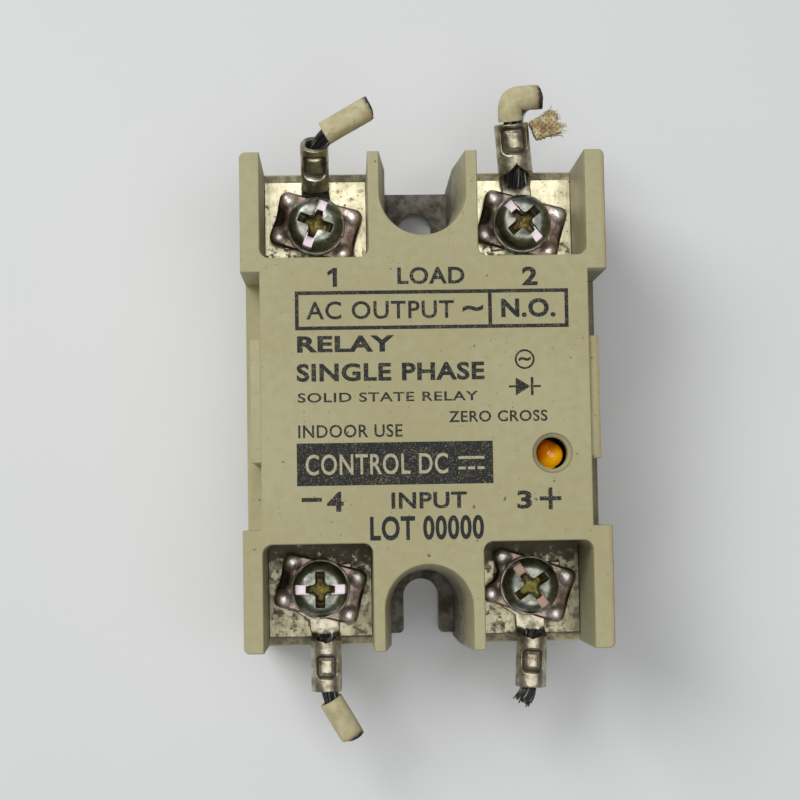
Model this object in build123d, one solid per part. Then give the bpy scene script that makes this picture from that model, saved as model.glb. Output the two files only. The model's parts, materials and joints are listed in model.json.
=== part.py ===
from build123d import *
import os
from dataclasses import dataclass
from math import cos, radians, sin

# Panel-mount solid state relay with four screw terminals, one crimped lug under each screw.
# Millimetres. The origin is the centre of the bottom mounting face. X runs across the relay,
# Y along it and Z up, out of the base. Terminals: 1 at -X +Y, 2 at +X +Y, 3 at +X -Y, 4 at -X -Y.

# Case
CASE_WIDTH = 42.6
CASE_LENGTH = 58.0
CASE_TOP = 26.8
CASE_BOTTOM = 0.3            # the base plate stands this proud of the plastic
CASE_CORNER = 0.7
EDGE_ROUND = 0.25

# Side recess between the ears, with the raised block in its middle
RECESS_X = 19.1
RECESS_HALF_LENGTH = 14.9
RECESS_FLOOR = 15.2
BLOCK_X = 20.25
BLOCK_HALF_LENGTH = 7.1
BLOCK_TOP = 26.2

# Terminal compartments
BAY_INNER_X = 6.4
BAY_OUTER_X = 19.0
BAY_BACK_Y = 16.6
BAY_CORNER = 1.1
LIP_TOP = 12.8
DECK_TOP = 12.5
DECK_BOTTOM = 6.0
TAIL_GAP = 0.1               # round the contact plate's tail where it goes through the wall

# End notches that let the mounting screws through
NOTCH_CENTRE_Y = 24.17
NOTCH_TOP_RADIUS = 5.07
NOTCH_FOOT_RADIUS = 4.15
NOTCH_FOOT_Z = 15.5

# Hollow for the circuit
CAVITY_HALF_X = 17.4
CAVITY_HALF_Y = 14.9
CAVITY_TOP = 25.0
POCKET_INNER_X = 6.2
POCKET_OUTER_X = 19.8
POCKET_END_Y = 27.4

# Base plate
PLATE_WIDTH = 40.0
PLATE_LENGTH = 56.8
PLATE_THICKNESS = 2.0
PLATE_CORNER = 1.2
PLATE_GAP = 0.05
MOUNT_Y = 23.75
MOUNT_HOLE_RADIUS = 2.15
MOUNT_SLOT_WIDTH = 4.5
MOUNT_MOUTH_ROUND = 0.6

# Terminals
SCREW_X = 12.65
SCREW_Y = 22.1
TERMINAL_PLATE_TOP = 13.4
TERMINAL_PLATE_FRONT_Y = 27.9
TERMINAL_PLATE_GAP = 0.1
TERMINAL_HOLE_RADIUS = 2.2
TAIL_WIDTH = 6.0
TAIL_END_Y = 12.0
TAIL_THICKNESS = 0.9
TAIL_PIN_WIDTH = 2.0
TAIL_PIN_GAP = 0.1
NUT_SIDE = 7.0
NUT_HEIGHT = 2.9
NUT_BORE_RADIUS = 2.04
NUT_GAP = 0.1
NUT_CORNER = 0.3
WELL_RADIUS = 2.4
WELL_BOTTOM = 7.3

# Lug, washer and screw stack, by height
LUG_THICKNESS = 0.78
CLAMP_BOTTOM = 14.2
CLAMP_THICKNESS = 0.8
SPRING_THICKNESS = 0.9
SCREW_SEAT = 15.92
HEAD_RADIUS = 3.35
HEAD_HEIGHT = 2.55
HEAD_ROUND = 1.5
SHANK_RADIUS = 1.97
SHANK_LENGTH = 8.0
SHANK_CHAMFER = 0.4
SLOT_WIDTH = 1.17
SLOT_DEPTH = 0.95
CROSS_SPAN = 4.5
CROSS_DEPTH = 1.9
CROSS_CORNER = 0.42
CROSS_TAPER = 8.0            # degrees
CROSS_FLOOR_RADIUS = 1.3
CLAMP_LENGTH = 10.4
CLAMP_WIDTH = 6.7
CLAMP_CORNER = 0.8
CLAMP_BORE_RADIUS = 2.15
CLAMP_PAD_RADIUS = 0.75
CLAMP_PAD_CROWN = 0.41       # radius of a pad's flat top
CLAMP_PAD_INSET = 0.15
CLAMP_PAD_HEIGHT = 0.4
CLAMP_GROOVE_RADIUS = 1.1    # the shallow groove across the middle of each short end
CLAMP_GROOVE_DEPTH = 0.4
CLAMP_GROOVE_LENGTH = 0.9
SPRING_OUTER_RADIUS = 3.6
SPRING_INNER_RADIUS = 2.15
SPRING_SPLIT = 0.5
SPRING_CUT_SLANT = 30        # degrees
SPRING_LAG = 100             # degrees from the screw's slot back to the split

# Crimped lugs and the cut wire ends in them
FORK_WIDTH = 8.0
FORK_SLOT_WIDTH = 4.35
FORK_TIP = 3.5
NECK_WIDTH = 3.6
BARREL_LENGTH = 6.0
BARREL_BORE_RADIUS = 1.2
BORE_START = 0.6             # the bore runs this far back past the barrel's inner end
STRAND_RADIUS = 1.0
BARREL_GAP = 0.05            # between a barrel and the contact plate
NECK_TAPER = 1.0             # length over which the tongue narrows to the neck's width
FORK_SHOULDER = 2.0
DENT_DEPTH = 0.45
DENT_SIZE = (1.9, 2.6)
DENT_PLACE = 0.55            # along the barrel, as a share of its length
SLEEVE_RADIUS = 1.45
SLEEVE_BORE_RADIUS = 1.05
STRAND_OVERHANG = 0.5        # strands stand out of the barrel's inner end

# Indicator
LED_X = 14.5
LED_Y = -6.5
LED_HOLE_RADIUS = 1.84
LED_HOLE_CHAMFER = 0.45
LED_RADIUS = 1.5
LED_TOP = 24.0
LED_BODY_LENGTH = 4.6
LED_FLANGE_RADIUS = 1.75
LED_FLANGE_HEIGHT = 0.8

# Circuit
BOARD_WIDTH = 33.8
BOARD_LENGTH = 28.8
BOARD_BOTTOM = 7.4
BOARD_THICKNESS = 1.2
LEAD_RADIUS = 0.3
LEAD_HOLE_RADIUS = 0.45
LEAD_TAIL = 0.8
SUBSTRATE_SIZE = (24.0, 16.0, 0.7)
POWER_Y = 3.0
CHIP_SIDE = 5.0
CHIP_HEIGHT = 0.4
CHIP_X = 5.0
BUS_THICKNESS = 0.6
BUS_WIDTH = 3.0
BUS_OUTER_X = 14.4
BUS_PIN_TOP = 9.6
BUS_SLOT_GAP = 0.1
GEL_TOP = 5.0
GEL_GAP = 0.05
AXIAL_STAND_OFF = 0.3
COUPLER_STAND_OFF = 0.5
CAPACITOR_STAND_OFF = 0.4
CAPACITOR_CORNER = 0.5
VARISTOR_STAND_OFF = 1.2
TRANSISTOR_STAND_OFF = 1.5

# How far a piece runs into the one that it is joined to, and a cutter past what it cuts
JOIN = 0.5
PAST = 1.0

BOARD_TOP = BOARD_BOTTOM + BOARD_THICKNESS
CHIP_TOP = PLATE_THICKNESS + SUBSTRATE_SIZE[2] + CHIP_HEIGHT


@dataclass
class Terminal:
    """One terminal: its corner of the relay, and how its loose pieces happen to lie."""
    number: int
    side: int            # -1 at -X, +1 at +X
    end: int             # -1 at -Y, +1 at +Y
    washer_turn: float   # degrees about Z
    slot_turn: float
    tongue_turn: float
    barrel_turn: float
    barrel_tilt: float   # degrees up from level
    barrel_start: float  # from the screw, along the tongue
    barrel_radius: float

    @property
    def x(self):
        return self.side * SCREW_X

    @property
    def y(self):
        return self.end * SCREW_Y

    def outward(self, turn):
        """Unit direction out of the relay's end, turned about Z."""
        return Vector(-self.end * sin(radians(turn)), self.end * cos(radians(turn)), 0)


TERMINALS = [
    Terminal(1, -1, 1, -15.6, 69, 0.0, 0.0, 45, 5.1, 1.72),
    Terminal(2, 1, 1, -15.2, 130, 5.8, 5.8, 14, 6.4, 2.1),
    Terminal(3, 1, -1, -18.0, 125, 1.8, -2.8, 0, 6.2, 1.85),
    Terminal(4, -1, -1, -14.5, 0, 5.5, 0.0, 0, 6.3, 1.85),
]


@dataclass
class AxialPart:
    """A round component that lies along X on the board, on two bent leads."""
    x: float
    y: float
    radius: float
    length: float
    span: float

    def holes(self):
        return [(self.x - self.span / 2, self.y), (self.x + self.span / 2, self.y)]


SNUBBER_RESISTOR = AxialPart(7.0, 10.0, 1.7, 9.0, 12.0)
INPUT_DIODE = AxialPart(-10.5, -4.5, 1.3, 5.0, 8.0)
INPUT_RESISTORS = [AxialPart(-10.5, -8.0 - 2.6 * i, 0.9, 4.0, 7.0) for i in range(2)]
GATE_RESISTORS = [AxialPart(-9.5, 0.5 + 2.6 * i, 0.9, 4.0, 7.0) for i in range(2)]
COUPLER_SIZE = (7.4, 6.4, 3.5)
COUPLER_AT = (0.5, -2.5)
COUPLER_PITCH = 2.54
COUPLER_ROW = 7.62
CAPACITOR_SIZE = (13.0, 5.0, 10.0)
CAPACITOR_AT = (-7.5, 8.8)
CAPACITOR_PITCH = 10.0
VARISTOR_AT = (9.5, 4.6)
VARISTOR_RADIUS = 5.0
VARISTOR_THICKNESS = 3.6
VARISTOR_PITCH = 5.0
TRANSISTOR_AT = (4.0, -10.0)
TRANSISTOR_RADIUS = 2.4
TRANSISTOR_FLAT = 1.3
TRANSISTOR_HEIGHT = 4.8
TRANSISTOR_PITCH = 1.6
LED_LEAD_PITCH = 2.0

COUPLER_HOLES = [
    (COUPLER_AT[0] + side * COUPLER_ROW / 2, COUPLER_AT[1] + i * COUPLER_PITCH)
    for side in (-1, 1) for i in (-1, 0, 1)
]
CAPACITOR_HOLES = [(CAPACITOR_AT[0] + s * CAPACITOR_PITCH / 2, CAPACITOR_AT[1]) for s in (-1, 1)]
VARISTOR_HOLES = [(VARISTOR_AT[0] + s * VARISTOR_PITCH / 2, VARISTOR_AT[1]) for s in (-1, 1)]
TRANSISTOR_HOLES = [(TRANSISTOR_AT[0] + i * TRANSISTOR_PITCH, TRANSISTOR_AT[1]) for i in (-1, 0, 1)]
LED_HOLES = [(LED_X + s * LED_LEAD_PITCH / 2, LED_Y) for s in (-1, 1)]
GATE_INSET = 0.4
GATE_HOLES = [(s * CHIP_X, POWER_Y - CHIP_SIDE / 2 + GATE_INSET) for s in (-1, 1)]


def block(low, high):
    """A box given by two opposite corners."""
    size = [b - a for a, b in zip(low, high)]
    centre = [(a + b) / 2 for a, b in zip(low, high)]
    return Pos(*centre) * Box(*size)


def mirrored_block(side, end, low, high):
    """A box in the +X +Y quarter, moved to the quarter that side and end name."""
    x0, x1 = sorted((side * low[0], side * high[0]))
    y0, y1 = sorted((end * low[1], end * high[1]))
    return block((x0, y0, low[2]), (x1, y1, high[2]))


def rod(start, direction, radius, length):
    """A round rod from a point along a direction."""
    plane = Plane(origin=start, z_dir=direction)
    return plane * Cylinder(radius, length, align=(Align.CENTER, Align.CENTER, Align.MIN))


def upright(x, y, radius, bottom, top):
    """A round rod along Z between two heights."""
    return rod((x, y, bottom), (0, 0, 1), radius, top - bottom)


def lead(x, y, top):
    """A component lead from a height down through the board."""
    return upright(x, y, LEAD_RADIUS, BOARD_BOTTOM - LEAD_TAIL, top)


# ---------------------------------------------------------------- housing

def notch_cutter(end):
    """The space of one end notch: a U that narrows to its foot and then runs straight down."""
    reach = CASE_LENGTH - NOTCH_CENTRE_Y
    top_taper = (NOTCH_TOP_RADIUS - NOTCH_FOOT_RADIUS) / (CASE_TOP - NOTCH_FOOT_Z)

    def u_shape(radius, z):
        mouth = Pos(0, reach / 2) * Rectangle(2 * radius, reach)
        turn = 0 if end > 0 else 180
        return Pos(0, end * NOTCH_CENTRE_Y, z) * Rot(0, 0, turn) * (Circle(radius) + mouth)

    upper = loft([
        u_shape(NOTCH_TOP_RADIUS + top_taper * PAST, CASE_TOP + PAST).face(),
        u_shape(NOTCH_FOOT_RADIUS, NOTCH_FOOT_Z).face(),
    ])
    lower = extrude(u_shape(NOTCH_FOOT_RADIUS, CASE_BOTTOM - PAST), NOTCH_FOOT_Z - CASE_BOTTOM + PAST)
    return upper + lower


def bay_cutter(t):
    """The space of one terminal compartment, open at the top and at the relay's end."""
    length = CASE_LENGTH - BAY_BACK_Y
    width = BAY_OUTER_X - BAY_INNER_X
    centre = (t.side * (BAY_INNER_X + width / 2), t.end * (BAY_BACK_Y + length / 2), LIP_TOP)
    bay = Pos(*centre) * extrude(RectangleRounded(width, length, BAY_CORNER), CASE_TOP)
    seat = mirrored_block(
        t.side, t.end,
        (BAY_INNER_X, BAY_BACK_Y, DECK_TOP),
        (BAY_OUTER_X, TERMINAL_PLATE_FRONT_Y + TERMINAL_PLATE_GAP, TERMINAL_PLATE_TOP),
    )
    tail_slot = mirrored_block(
        t.side, t.end,
        (SCREW_X - TAIL_WIDTH / 2 - TAIL_GAP, CAVITY_HALF_Y - PAST, DECK_TOP),
        (SCREW_X + TAIL_WIDTH / 2 + TAIL_GAP, BAY_BACK_Y + PAST, TERMINAL_PLATE_TOP),
    )
    side = NUT_SIDE + NUT_GAP
    nut_pocket = block(
        (t.x - side / 2, t.y - side / 2, DECK_TOP - NUT_HEIGHT),
        (t.x + side / 2, t.y + side / 2, DECK_TOP + PAST),
    )
    well = upright(t.x, t.y, WELL_RADIUS, WELL_BOTTOM, DECK_TOP)
    return bay + seat + tail_slot + nut_pocket + well


def make_case():
    """The moulded case, open underneath, with ears, compartments and end notches."""
    case = Pos(0, 0, CASE_BOTTOM) * extrude(
        RectangleRounded(CASE_WIDTH, CASE_LENGTH, CASE_CORNER), CASE_TOP - CASE_BOTTOM)
    for side in (-1, 1):
        case -= mirrored_block(
            side, 1, (RECESS_X, -RECESS_HALF_LENGTH, RECESS_FLOOR),
            (CASE_WIDTH, RECESS_HALF_LENGTH, CASE_TOP + PAST))
        case += mirrored_block(
            side, 1, (RECESS_X - JOIN, -BLOCK_HALF_LENGTH, RECESS_FLOOR - JOIN),
            (BLOCK_X, BLOCK_HALF_LENGTH, BLOCK_TOP))
    for t in TERMINALS:
        case -= bay_cutter(t)
    for end in (-1, 1):
        case -= notch_cutter(end)
    top = case.faces().sort_by(Axis.Z)[-1]
    case = fillet(top.edges(), EDGE_ROUND)
    case -= block((-CAVITY_HALF_X, -CAVITY_HALF_Y, 0), (CAVITY_HALF_X, CAVITY_HALF_Y, CAVITY_TOP))
    for t in TERMINALS:
        case -= mirrored_block(
            t.side, t.end, (POCKET_INNER_X, CAVITY_HALF_Y - PAST, 0),
            (POCKET_OUTER_X, POCKET_END_Y, DECK_BOTTOM))
    case -= extrude(
        RectangleRounded(PLATE_WIDTH + 2 * PLATE_GAP, PLATE_LENGTH + 2 * PLATE_GAP, PLATE_CORNER),
        PLATE_THICKNESS)
    case -= upright(LED_X, LED_Y, LED_HOLE_RADIUS, CAVITY_TOP - PAST, CASE_TOP + PAST)
    rim = Pos(LED_X, LED_Y, CASE_TOP - LED_HOLE_CHAMFER / 2) * Cone(
        LED_HOLE_RADIUS, LED_HOLE_RADIUS + LED_HOLE_CHAMFER, LED_HOLE_CHAMFER)
    return case - rim


def make_base_plate():
    """The metal plate that the case stands on, with a round hole and an open slot."""
    plate = extrude(RectangleRounded(PLATE_WIDTH, PLATE_LENGTH, PLATE_CORNER), PLATE_THICKNESS)
    plate -= upright(0, MOUNT_Y, MOUNT_HOLE_RADIUS, -PAST, PLATE_THICKNESS + PAST)
    plate -= upright(0, -MOUNT_Y, MOUNT_SLOT_WIDTH / 2, -PAST, PLATE_THICKNESS + PAST)
    plate -= block(
        (-MOUNT_SLOT_WIDTH / 2, -CASE_LENGTH, -PAST),
        (MOUNT_SLOT_WIDTH / 2, -MOUNT_Y, PLATE_THICKNESS + PAST))
    mouth = plate.edges().filter_by(Axis.Z).group_by(Axis.Y)[0]
    return fillet(mouth, MOUNT_MOUTH_ROUND)


# ---------------------------------------------------------------- terminals

def make_terminal_plate(t):
    """The contact plate on the compartment floor, with a bent tail and a solder pin inside."""
    gap = TERMINAL_PLATE_GAP
    plate = mirrored_block(
        t.side, t.end,
        (BAY_INNER_X + gap, BAY_BACK_Y + gap, DECK_TOP),
        (BAY_OUTER_X - gap, TERMINAL_PLATE_FRONT_Y, TERMINAL_PLATE_TOP))
    plate += mirrored_block(
        t.side, t.end,
        (SCREW_X - TAIL_WIDTH / 2, TAIL_END_Y, DECK_TOP),
        (SCREW_X + TAIL_WIDTH / 2, BAY_BACK_Y + PAST, TERMINAL_PLATE_TOP))
    plate += mirrored_block(
        t.side, t.end,
        (SCREW_X - TAIL_WIDTH / 2, TAIL_END_Y, BOARD_TOP),
        (SCREW_X + TAIL_WIDTH / 2, TAIL_END_Y + TAIL_THICKNESS, DECK_TOP + JOIN))
    plate += mirrored_block(
        t.side, t.end,
        (SCREW_X - TAIL_PIN_WIDTH / 2, TAIL_END_Y, BOARD_BOTTOM - LEAD_TAIL),
        (SCREW_X + TAIL_PIN_WIDTH / 2, TAIL_END_Y + TAIL_THICKNESS, BOARD_TOP + JOIN))
    return plate - upright(t.x, t.y, TERMINAL_HOLE_RADIUS, 0, CASE_TOP)


def make_nut(t):
    """A square nut held in the pocket under the contact plate."""
    nut = Pos(t.x, t.y, DECK_TOP - NUT_HEIGHT) * extrude(
        RectangleRounded(NUT_SIDE, NUT_SIDE, NUT_CORNER), NUT_HEIGHT)
    return nut - upright(t.x, t.y, NUT_BORE_RADIUS, 0, CASE_TOP)


def cross_cutter():
    """The cross recess: a plus with rounded inner corners that narrows to a round floor."""
    plus = Rectangle(CROSS_SPAN, SLOT_WIDTH) + Rectangle(SLOT_WIDTH, CROSS_SPAN)
    inner = plus.vertices().sort_by_distance((0, 0, 0))[:4]
    downwards = Plane(origin=(0, 0, HEAD_HEIGHT), z_dir=(0, 0, -1))
    recess = extrude(downwards * fillet(inner, CROSS_CORNER), CROSS_DEPTH, taper=CROSS_TAPER)
    taper = Pos(0, 0, HEAD_HEIGHT - CROSS_DEPTH / 2) * Cone(
        CROSS_FLOOR_RADIUS, CROSS_SPAN / 2, CROSS_DEPTH)
    return recess & taper


def make_screw(t):
    """A pan-head screw with a through slot crossed with a tapered cross recess."""
    head = extrude(Circle(HEAD_RADIUS), HEAD_HEIGHT)
    head = fillet(head.edges().sort_by(Axis.Z)[-1], HEAD_ROUND)
    shank = Pos(0, 0, -SHANK_LENGTH) * extrude(Circle(SHANK_RADIUS), SHANK_LENGTH)
    shank = chamfer(shank.edges().sort_by(Axis.Z)[0], SHANK_CHAMFER)
    slot = block(
        (-HEAD_RADIUS - PAST, -SLOT_WIDTH / 2, HEAD_HEIGHT - SLOT_DEPTH),
        (HEAD_RADIUS + PAST, SLOT_WIDTH / 2, HEAD_HEIGHT + PAST))
    screw = head + shank - slot - cross_cutter()
    return Pos(t.x, t.y, SCREW_SEAT) * Rot(0, 0, t.slot_turn) * screw


def make_spring_washer(t):
    """A split ring between the clamp washer and the screw head."""
    ring = extrude(Circle(SPRING_OUTER_RADIUS) - Circle(SPRING_INNER_RADIUS), SPRING_THICKNESS)
    ring -= Pos(SPRING_OUTER_RADIUS, 0, 0) * Rot(0, 0, SPRING_CUT_SLANT) * Box(
        2 * SPRING_OUTER_RADIUS, SPRING_SPLIT, 3 * SPRING_THICKNESS)
    return Pos(t.x, t.y, CLAMP_BOTTOM + CLAMP_THICKNESS) * Rot(0, 0, t.slot_turn - SPRING_LAG) * ring


def make_clamp_washer(t):
    """A rectangular clamp washer with a raised pad at each corner."""
    plate = extrude(RectangleRounded(CLAMP_LENGTH, CLAMP_WIDTH, CLAMP_CORNER), CLAMP_THICKNESS)
    pad_x = CLAMP_LENGTH / 2 - CLAMP_PAD_RADIUS - CLAMP_PAD_INSET
    pad_y = CLAMP_WIDTH / 2 - CLAMP_PAD_RADIUS - CLAMP_PAD_INSET
    for sx in (-1, 1):
        for sy in (-1, 1):
            plate += Pos(sx * pad_x, sy * pad_y, CLAMP_THICKNESS) * Cone(
                CLAMP_PAD_RADIUS, CLAMP_PAD_CROWN, CLAMP_PAD_HEIGHT,
                align=(Align.CENTER, Align.CENTER, Align.MIN))
        groove_z = CLAMP_THICKNESS + CLAMP_GROOVE_RADIUS - CLAMP_GROOVE_DEPTH
        end_groove = Pos(sx * CLAMP_LENGTH / 2, 0, groove_z) * Rot(0, 90, 0)
        plate -= end_groove * Cylinder(CLAMP_GROOVE_RADIUS, 2 * CLAMP_GROOVE_LENGTH)
    plate -= upright(0, 0, CLAMP_BORE_RADIUS, -PAST, CLAMP_THICKNESS + PAST)
    return Pos(t.x, t.y, CLAMP_BOTTOM) * Rot(0, 0, t.washer_turn) * plate


# ---------------------------------------------------------------- lugs and cut wires

def tongue_place(t):
    """Where the lug's tongue lies: its own +Y points out of the relay."""
    turn = t.tongue_turn + (0 if t.end > 0 else 180)
    return Pos(t.x, t.y, TERMINAL_PLATE_TOP) * Rot(0, 0, turn)


def barrel_direction(t):
    """The way the barrel points, away from the screw."""
    level = t.outward(t.barrel_turn)
    tilt = radians(t.barrel_tilt)
    return Vector(level.X * cos(tilt), level.Y * cos(tilt), sin(tilt))


def barrel_base(t):
    """Centre of the barrel's inner end."""
    along = t.outward(t.tongue_turn) * t.barrel_start
    return Vector(t.x, t.y, TERMINAL_PLATE_TOP + t.barrel_radius + BARREL_GAP) + along


def barrel_mouth(t):
    """Centre of the barrel's open end."""
    return barrel_base(t) + barrel_direction(t) * BARREL_LENGTH


def make_lug(t):
    """A fork tongue, a neck and a crimped barrel, in one piece of tinned metal."""
    neck_end = t.barrel_start + t.barrel_radius * sin(radians(t.barrel_tilt)) + JOIN
    neck_start = neck_end - NECK_TAPER
    tongue = Polyline(
        (-FORK_WIDTH / 2, -FORK_TIP), (-FORK_WIDTH / 2, FORK_SHOULDER), (-NECK_WIDTH / 2, neck_start),
        (-NECK_WIDTH / 2, neck_end), (NECK_WIDTH / 2, neck_end), (NECK_WIDTH / 2, neck_start),
        (FORK_WIDTH / 2, FORK_SHOULDER), (FORK_WIDTH / 2, -FORK_TIP), close=True)
    outline = make_face(tongue)
    outline -= Circle(FORK_SLOT_WIDTH / 2)
    outline -= Pos(0, -FORK_TIP) * Rectangle(FORK_SLOT_WIDTH, 2 * FORK_TIP)
    lug = tongue_place(t) * extrude(outline, LUG_THICKNESS)
    lug += rod(barrel_base(t), barrel_direction(t), t.barrel_radius, BARREL_LENGTH)
    lug -= rod(
        barrel_base(t) - barrel_direction(t) * BORE_START, barrel_direction(t),
        BARREL_BORE_RADIUS, BARREL_LENGTH + BORE_START + PAST)
    dent_at = barrel_base(t) + barrel_direction(t) * (BARREL_LENGTH * DENT_PLACE)
    side = barrel_direction(t).cross(Vector(0, 0, 1)).normalized()
    dent_plane = Plane(origin=dent_at, x_dir=side, z_dir=side.cross(barrel_direction(t)))
    dent = dent_plane * Pos(0, 0, t.barrel_radius - DENT_DEPTH) * Box(
        *DENT_SIZE, t.barrel_radius, align=(Align.CENTER, Align.CENTER, Align.MIN))
    return lug - dent


@dataclass
class WireEnd:
    """A cut wire in a barrel: it bends just past the mouth, and a sleeve may cover its end."""
    terminal: Terminal
    reach: float         # from the mouth to the bend
    heading: Vector      # the way it goes after the bend
    bare: float          # from the bend to the sleeve
    sleeve: float        # length of the sleeve

    @property
    def bend(self):
        return barrel_mouth(self.terminal) + barrel_direction(self.terminal) * self.reach

    def make_sleeve(self):
        """The straight tube of insulation."""
        along = self.heading.normalized()
        start = self.bend + along * self.bare
        bore = rod(start - along * PAST, along, SLEEVE_BORE_RADIUS, self.sleeve + 2 * PAST)
        return rod(start, along, SLEEVE_RADIUS, self.sleeve) - bore

    def make_strands(self):
        """The bared bundle: out of the barrel's inner end, through it, and on to the cut."""
        along = barrel_direction(self.terminal)
        through = STRAND_OVERHANG + BARREL_LENGTH + self.reach
        bundle = rod(self.bend - along * through, along, STRAND_RADIUS, through)
        bundle += Pos(*self.bend) * Sphere(STRAND_RADIUS)
        return bundle + rod(
            self.bend, self.heading.normalized(), STRAND_RADIUS, self.bare + self.sleeve)


WIRE_1 = WireEnd(TERMINALS[0], 0.6, Vector(0.87, 0.475, 0.13), 1.45, 6.6)
WIRE_3 = WireEnd(TERMINALS[2], 0.3, Vector(-0.6, -0.8, 0.05), 1.9, 0.0)
WIRE_4 = WireEnd(TERMINALS[3], 0.3, Vector(0.5, -0.86, -0.08), 0.9, 5.5)
ELBOW_2_RADIUS = 1.9
ELBOW_2_START = 0.75
ELBOW_2_RISE = 0.5
ELBOW_2_RUN = 2.2
FRAY_2 = (Vector(14.2, 33.3, 17.0), Vector(16.8, 34.4, 16.6))
FRAY_2_SIZE = (2.6, 1.3)
FRAY_2_CORNER = 0.5


def elbow_frame():
    """Plane at barrel 2's mouth: x towards +X, y along the barrel, z up."""
    t = TERMINALS[1]
    along = barrel_direction(t)
    side = Vector(1, 0, 0) - along * along.dot(Vector(1, 0, 0))
    return Plane(origin=barrel_mouth(t) + along * ELBOW_2_START, x_dir=side.normalized(),
                 z_dir=side.normalized().cross(along))


def elbow_path():
    """Centre line of the folded sleeve: out of the barrel, round to +X, and on."""
    turn = ELBOW_2_RADIUS
    rise = Line((0, 0), (0, ELBOW_2_RISE))
    bend = RadiusArc((0, ELBOW_2_RISE), (turn, ELBOW_2_RISE + turn), turn)
    run = Line((turn, ELBOW_2_RISE + turn), (turn + ELBOW_2_RUN, ELBOW_2_RISE + turn))
    return Wire([rise, bend, run])


def make_elbow_sleeve():
    """The sleeve folded over the mouth of barrel 2, a bent tube."""
    start = Plane(origin=(0, 0, 0), z_dir=(0, 1, 0))
    outer = sweep(start * Circle(SLEEVE_RADIUS), path=elbow_path())
    inner = sweep(start * Circle(SLEEVE_BORE_RADIUS), path=elbow_path())
    return elbow_frame() * (outer - inner)


def make_elbow_strands():
    """Strands of terminal 2: through the barrel and on inside the folded sleeve."""
    t = TERMINALS[1]
    start = Plane(origin=(0, 0, 0), z_dir=(0, 1, 0))
    inside = elbow_frame() * sweep(start * Circle(STRAND_RADIUS), path=elbow_path())
    base = barrel_base(t) - barrel_direction(t) * STRAND_OVERHANG
    through = rod(base, barrel_direction(t), STRAND_RADIUS, BARREL_LENGTH + STRAND_OVERHANG + ELBOW_2_START)
    return through + inside


def make_frayed_sleeve():
    """A flattened rag of torn sleeve beside barrel 2."""
    start, end = FRAY_2
    run = end - start
    plane = Plane(origin=start, x_dir=run.cross(Vector(0, 0, 1)).normalized(), z_dir=run.normalized())
    return plane * extrude(RectangleRounded(*FRAY_2_SIZE, FRAY_2_CORNER), run.length)


# ---------------------------------------------------------------- circuit

def make_board():
    """The circuit board, drilled for every lead, terminal pin and bus bar."""
    board = block(
        (-BOARD_WIDTH / 2, -BOARD_LENGTH / 2, BOARD_BOTTOM), (BOARD_WIDTH / 2, BOARD_LENGTH / 2, BOARD_TOP))
    holes = COUPLER_HOLES + CAPACITOR_HOLES + VARISTOR_HOLES + TRANSISTOR_HOLES + LED_HOLES + GATE_HOLES
    for part in [SNUBBER_RESISTOR, INPUT_DIODE] + INPUT_RESISTORS + GATE_RESISTORS:
        holes += part.holes()
    for x, y in holes:
        board -= upright(x, y, LEAD_HOLE_RADIUS, 0, CASE_TOP)
    for t in TERMINALS:
        board -= mirrored_block(
            t.side, t.end,
            (SCREW_X - TAIL_PIN_WIDTH / 2 - TAIL_PIN_GAP, TAIL_END_Y - TAIL_PIN_GAP, 0),
            (SCREW_X + TAIL_PIN_WIDTH / 2 + TAIL_PIN_GAP, TAIL_END_Y + TAIL_THICKNESS + TAIL_PIN_GAP,
             CASE_TOP))
    for side in (-1, 1):
        board -= bus_riser(side, BUS_SLOT_GAP)
    return board


def bus_riser(side, gap=0.0):
    """The upright end of a load bus bar, grown by a gap to cut its slot in the board."""
    half = BUS_WIDTH / 2 + gap
    return mirrored_block(
        side, 1,
        (BUS_OUTER_X - BUS_THICKNESS - gap, POWER_Y - half, CHIP_TOP + BUS_THICKNESS / 2),
        (BUS_OUTER_X + gap, POWER_Y + half, BUS_PIN_TOP + gap))


def make_bus_bar(side):
    """A strip from one thyristor chip out and up through the board."""
    strip = mirrored_block(
        side, 1,
        (CHIP_X - BUS_WIDTH / 2, POWER_Y - BUS_WIDTH / 2, CHIP_TOP),
        (BUS_OUTER_X, POWER_Y + BUS_WIDTH / 2, CHIP_TOP + BUS_THICKNESS))
    return strip + bus_riser(side)


def make_substrate():
    """The ceramic insulator that carries the chips on the base plate."""
    width, length, height = SUBSTRATE_SIZE
    return Pos(0, POWER_Y, PLATE_THICKNESS + height / 2) * Box(width, length, height)


def make_chips():
    """Two thyristor chips, back to back in the circuit."""
    return [
        Pos(side * CHIP_X, POWER_Y, CHIP_TOP - CHIP_HEIGHT / 2) * Box(CHIP_SIDE, CHIP_SIDE, CHIP_HEIGHT)
        for side in (-1, 1)
    ]


def make_gate_leads():
    """A gate lead from each chip up to the board."""
    return [upright(x, y, LEAD_RADIUS, CHIP_TOP, BOARD_TOP + JOIN) for x, y in GATE_HOLES]


def make_gel():
    """The soft sealing layer over the power stage, cut round what it buries."""
    half_x = CAVITY_HALF_X - GEL_GAP
    half_y = CAVITY_HALF_Y - GEL_GAP
    gel = block((-half_x, -half_y, PLATE_THICKNESS), (half_x, half_y, GEL_TOP))
    gel -= make_substrate()
    for solid in make_chips() + make_gate_leads() + [make_bus_bar(-1), make_bus_bar(1)]:
        gel -= solid
    return gel


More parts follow.
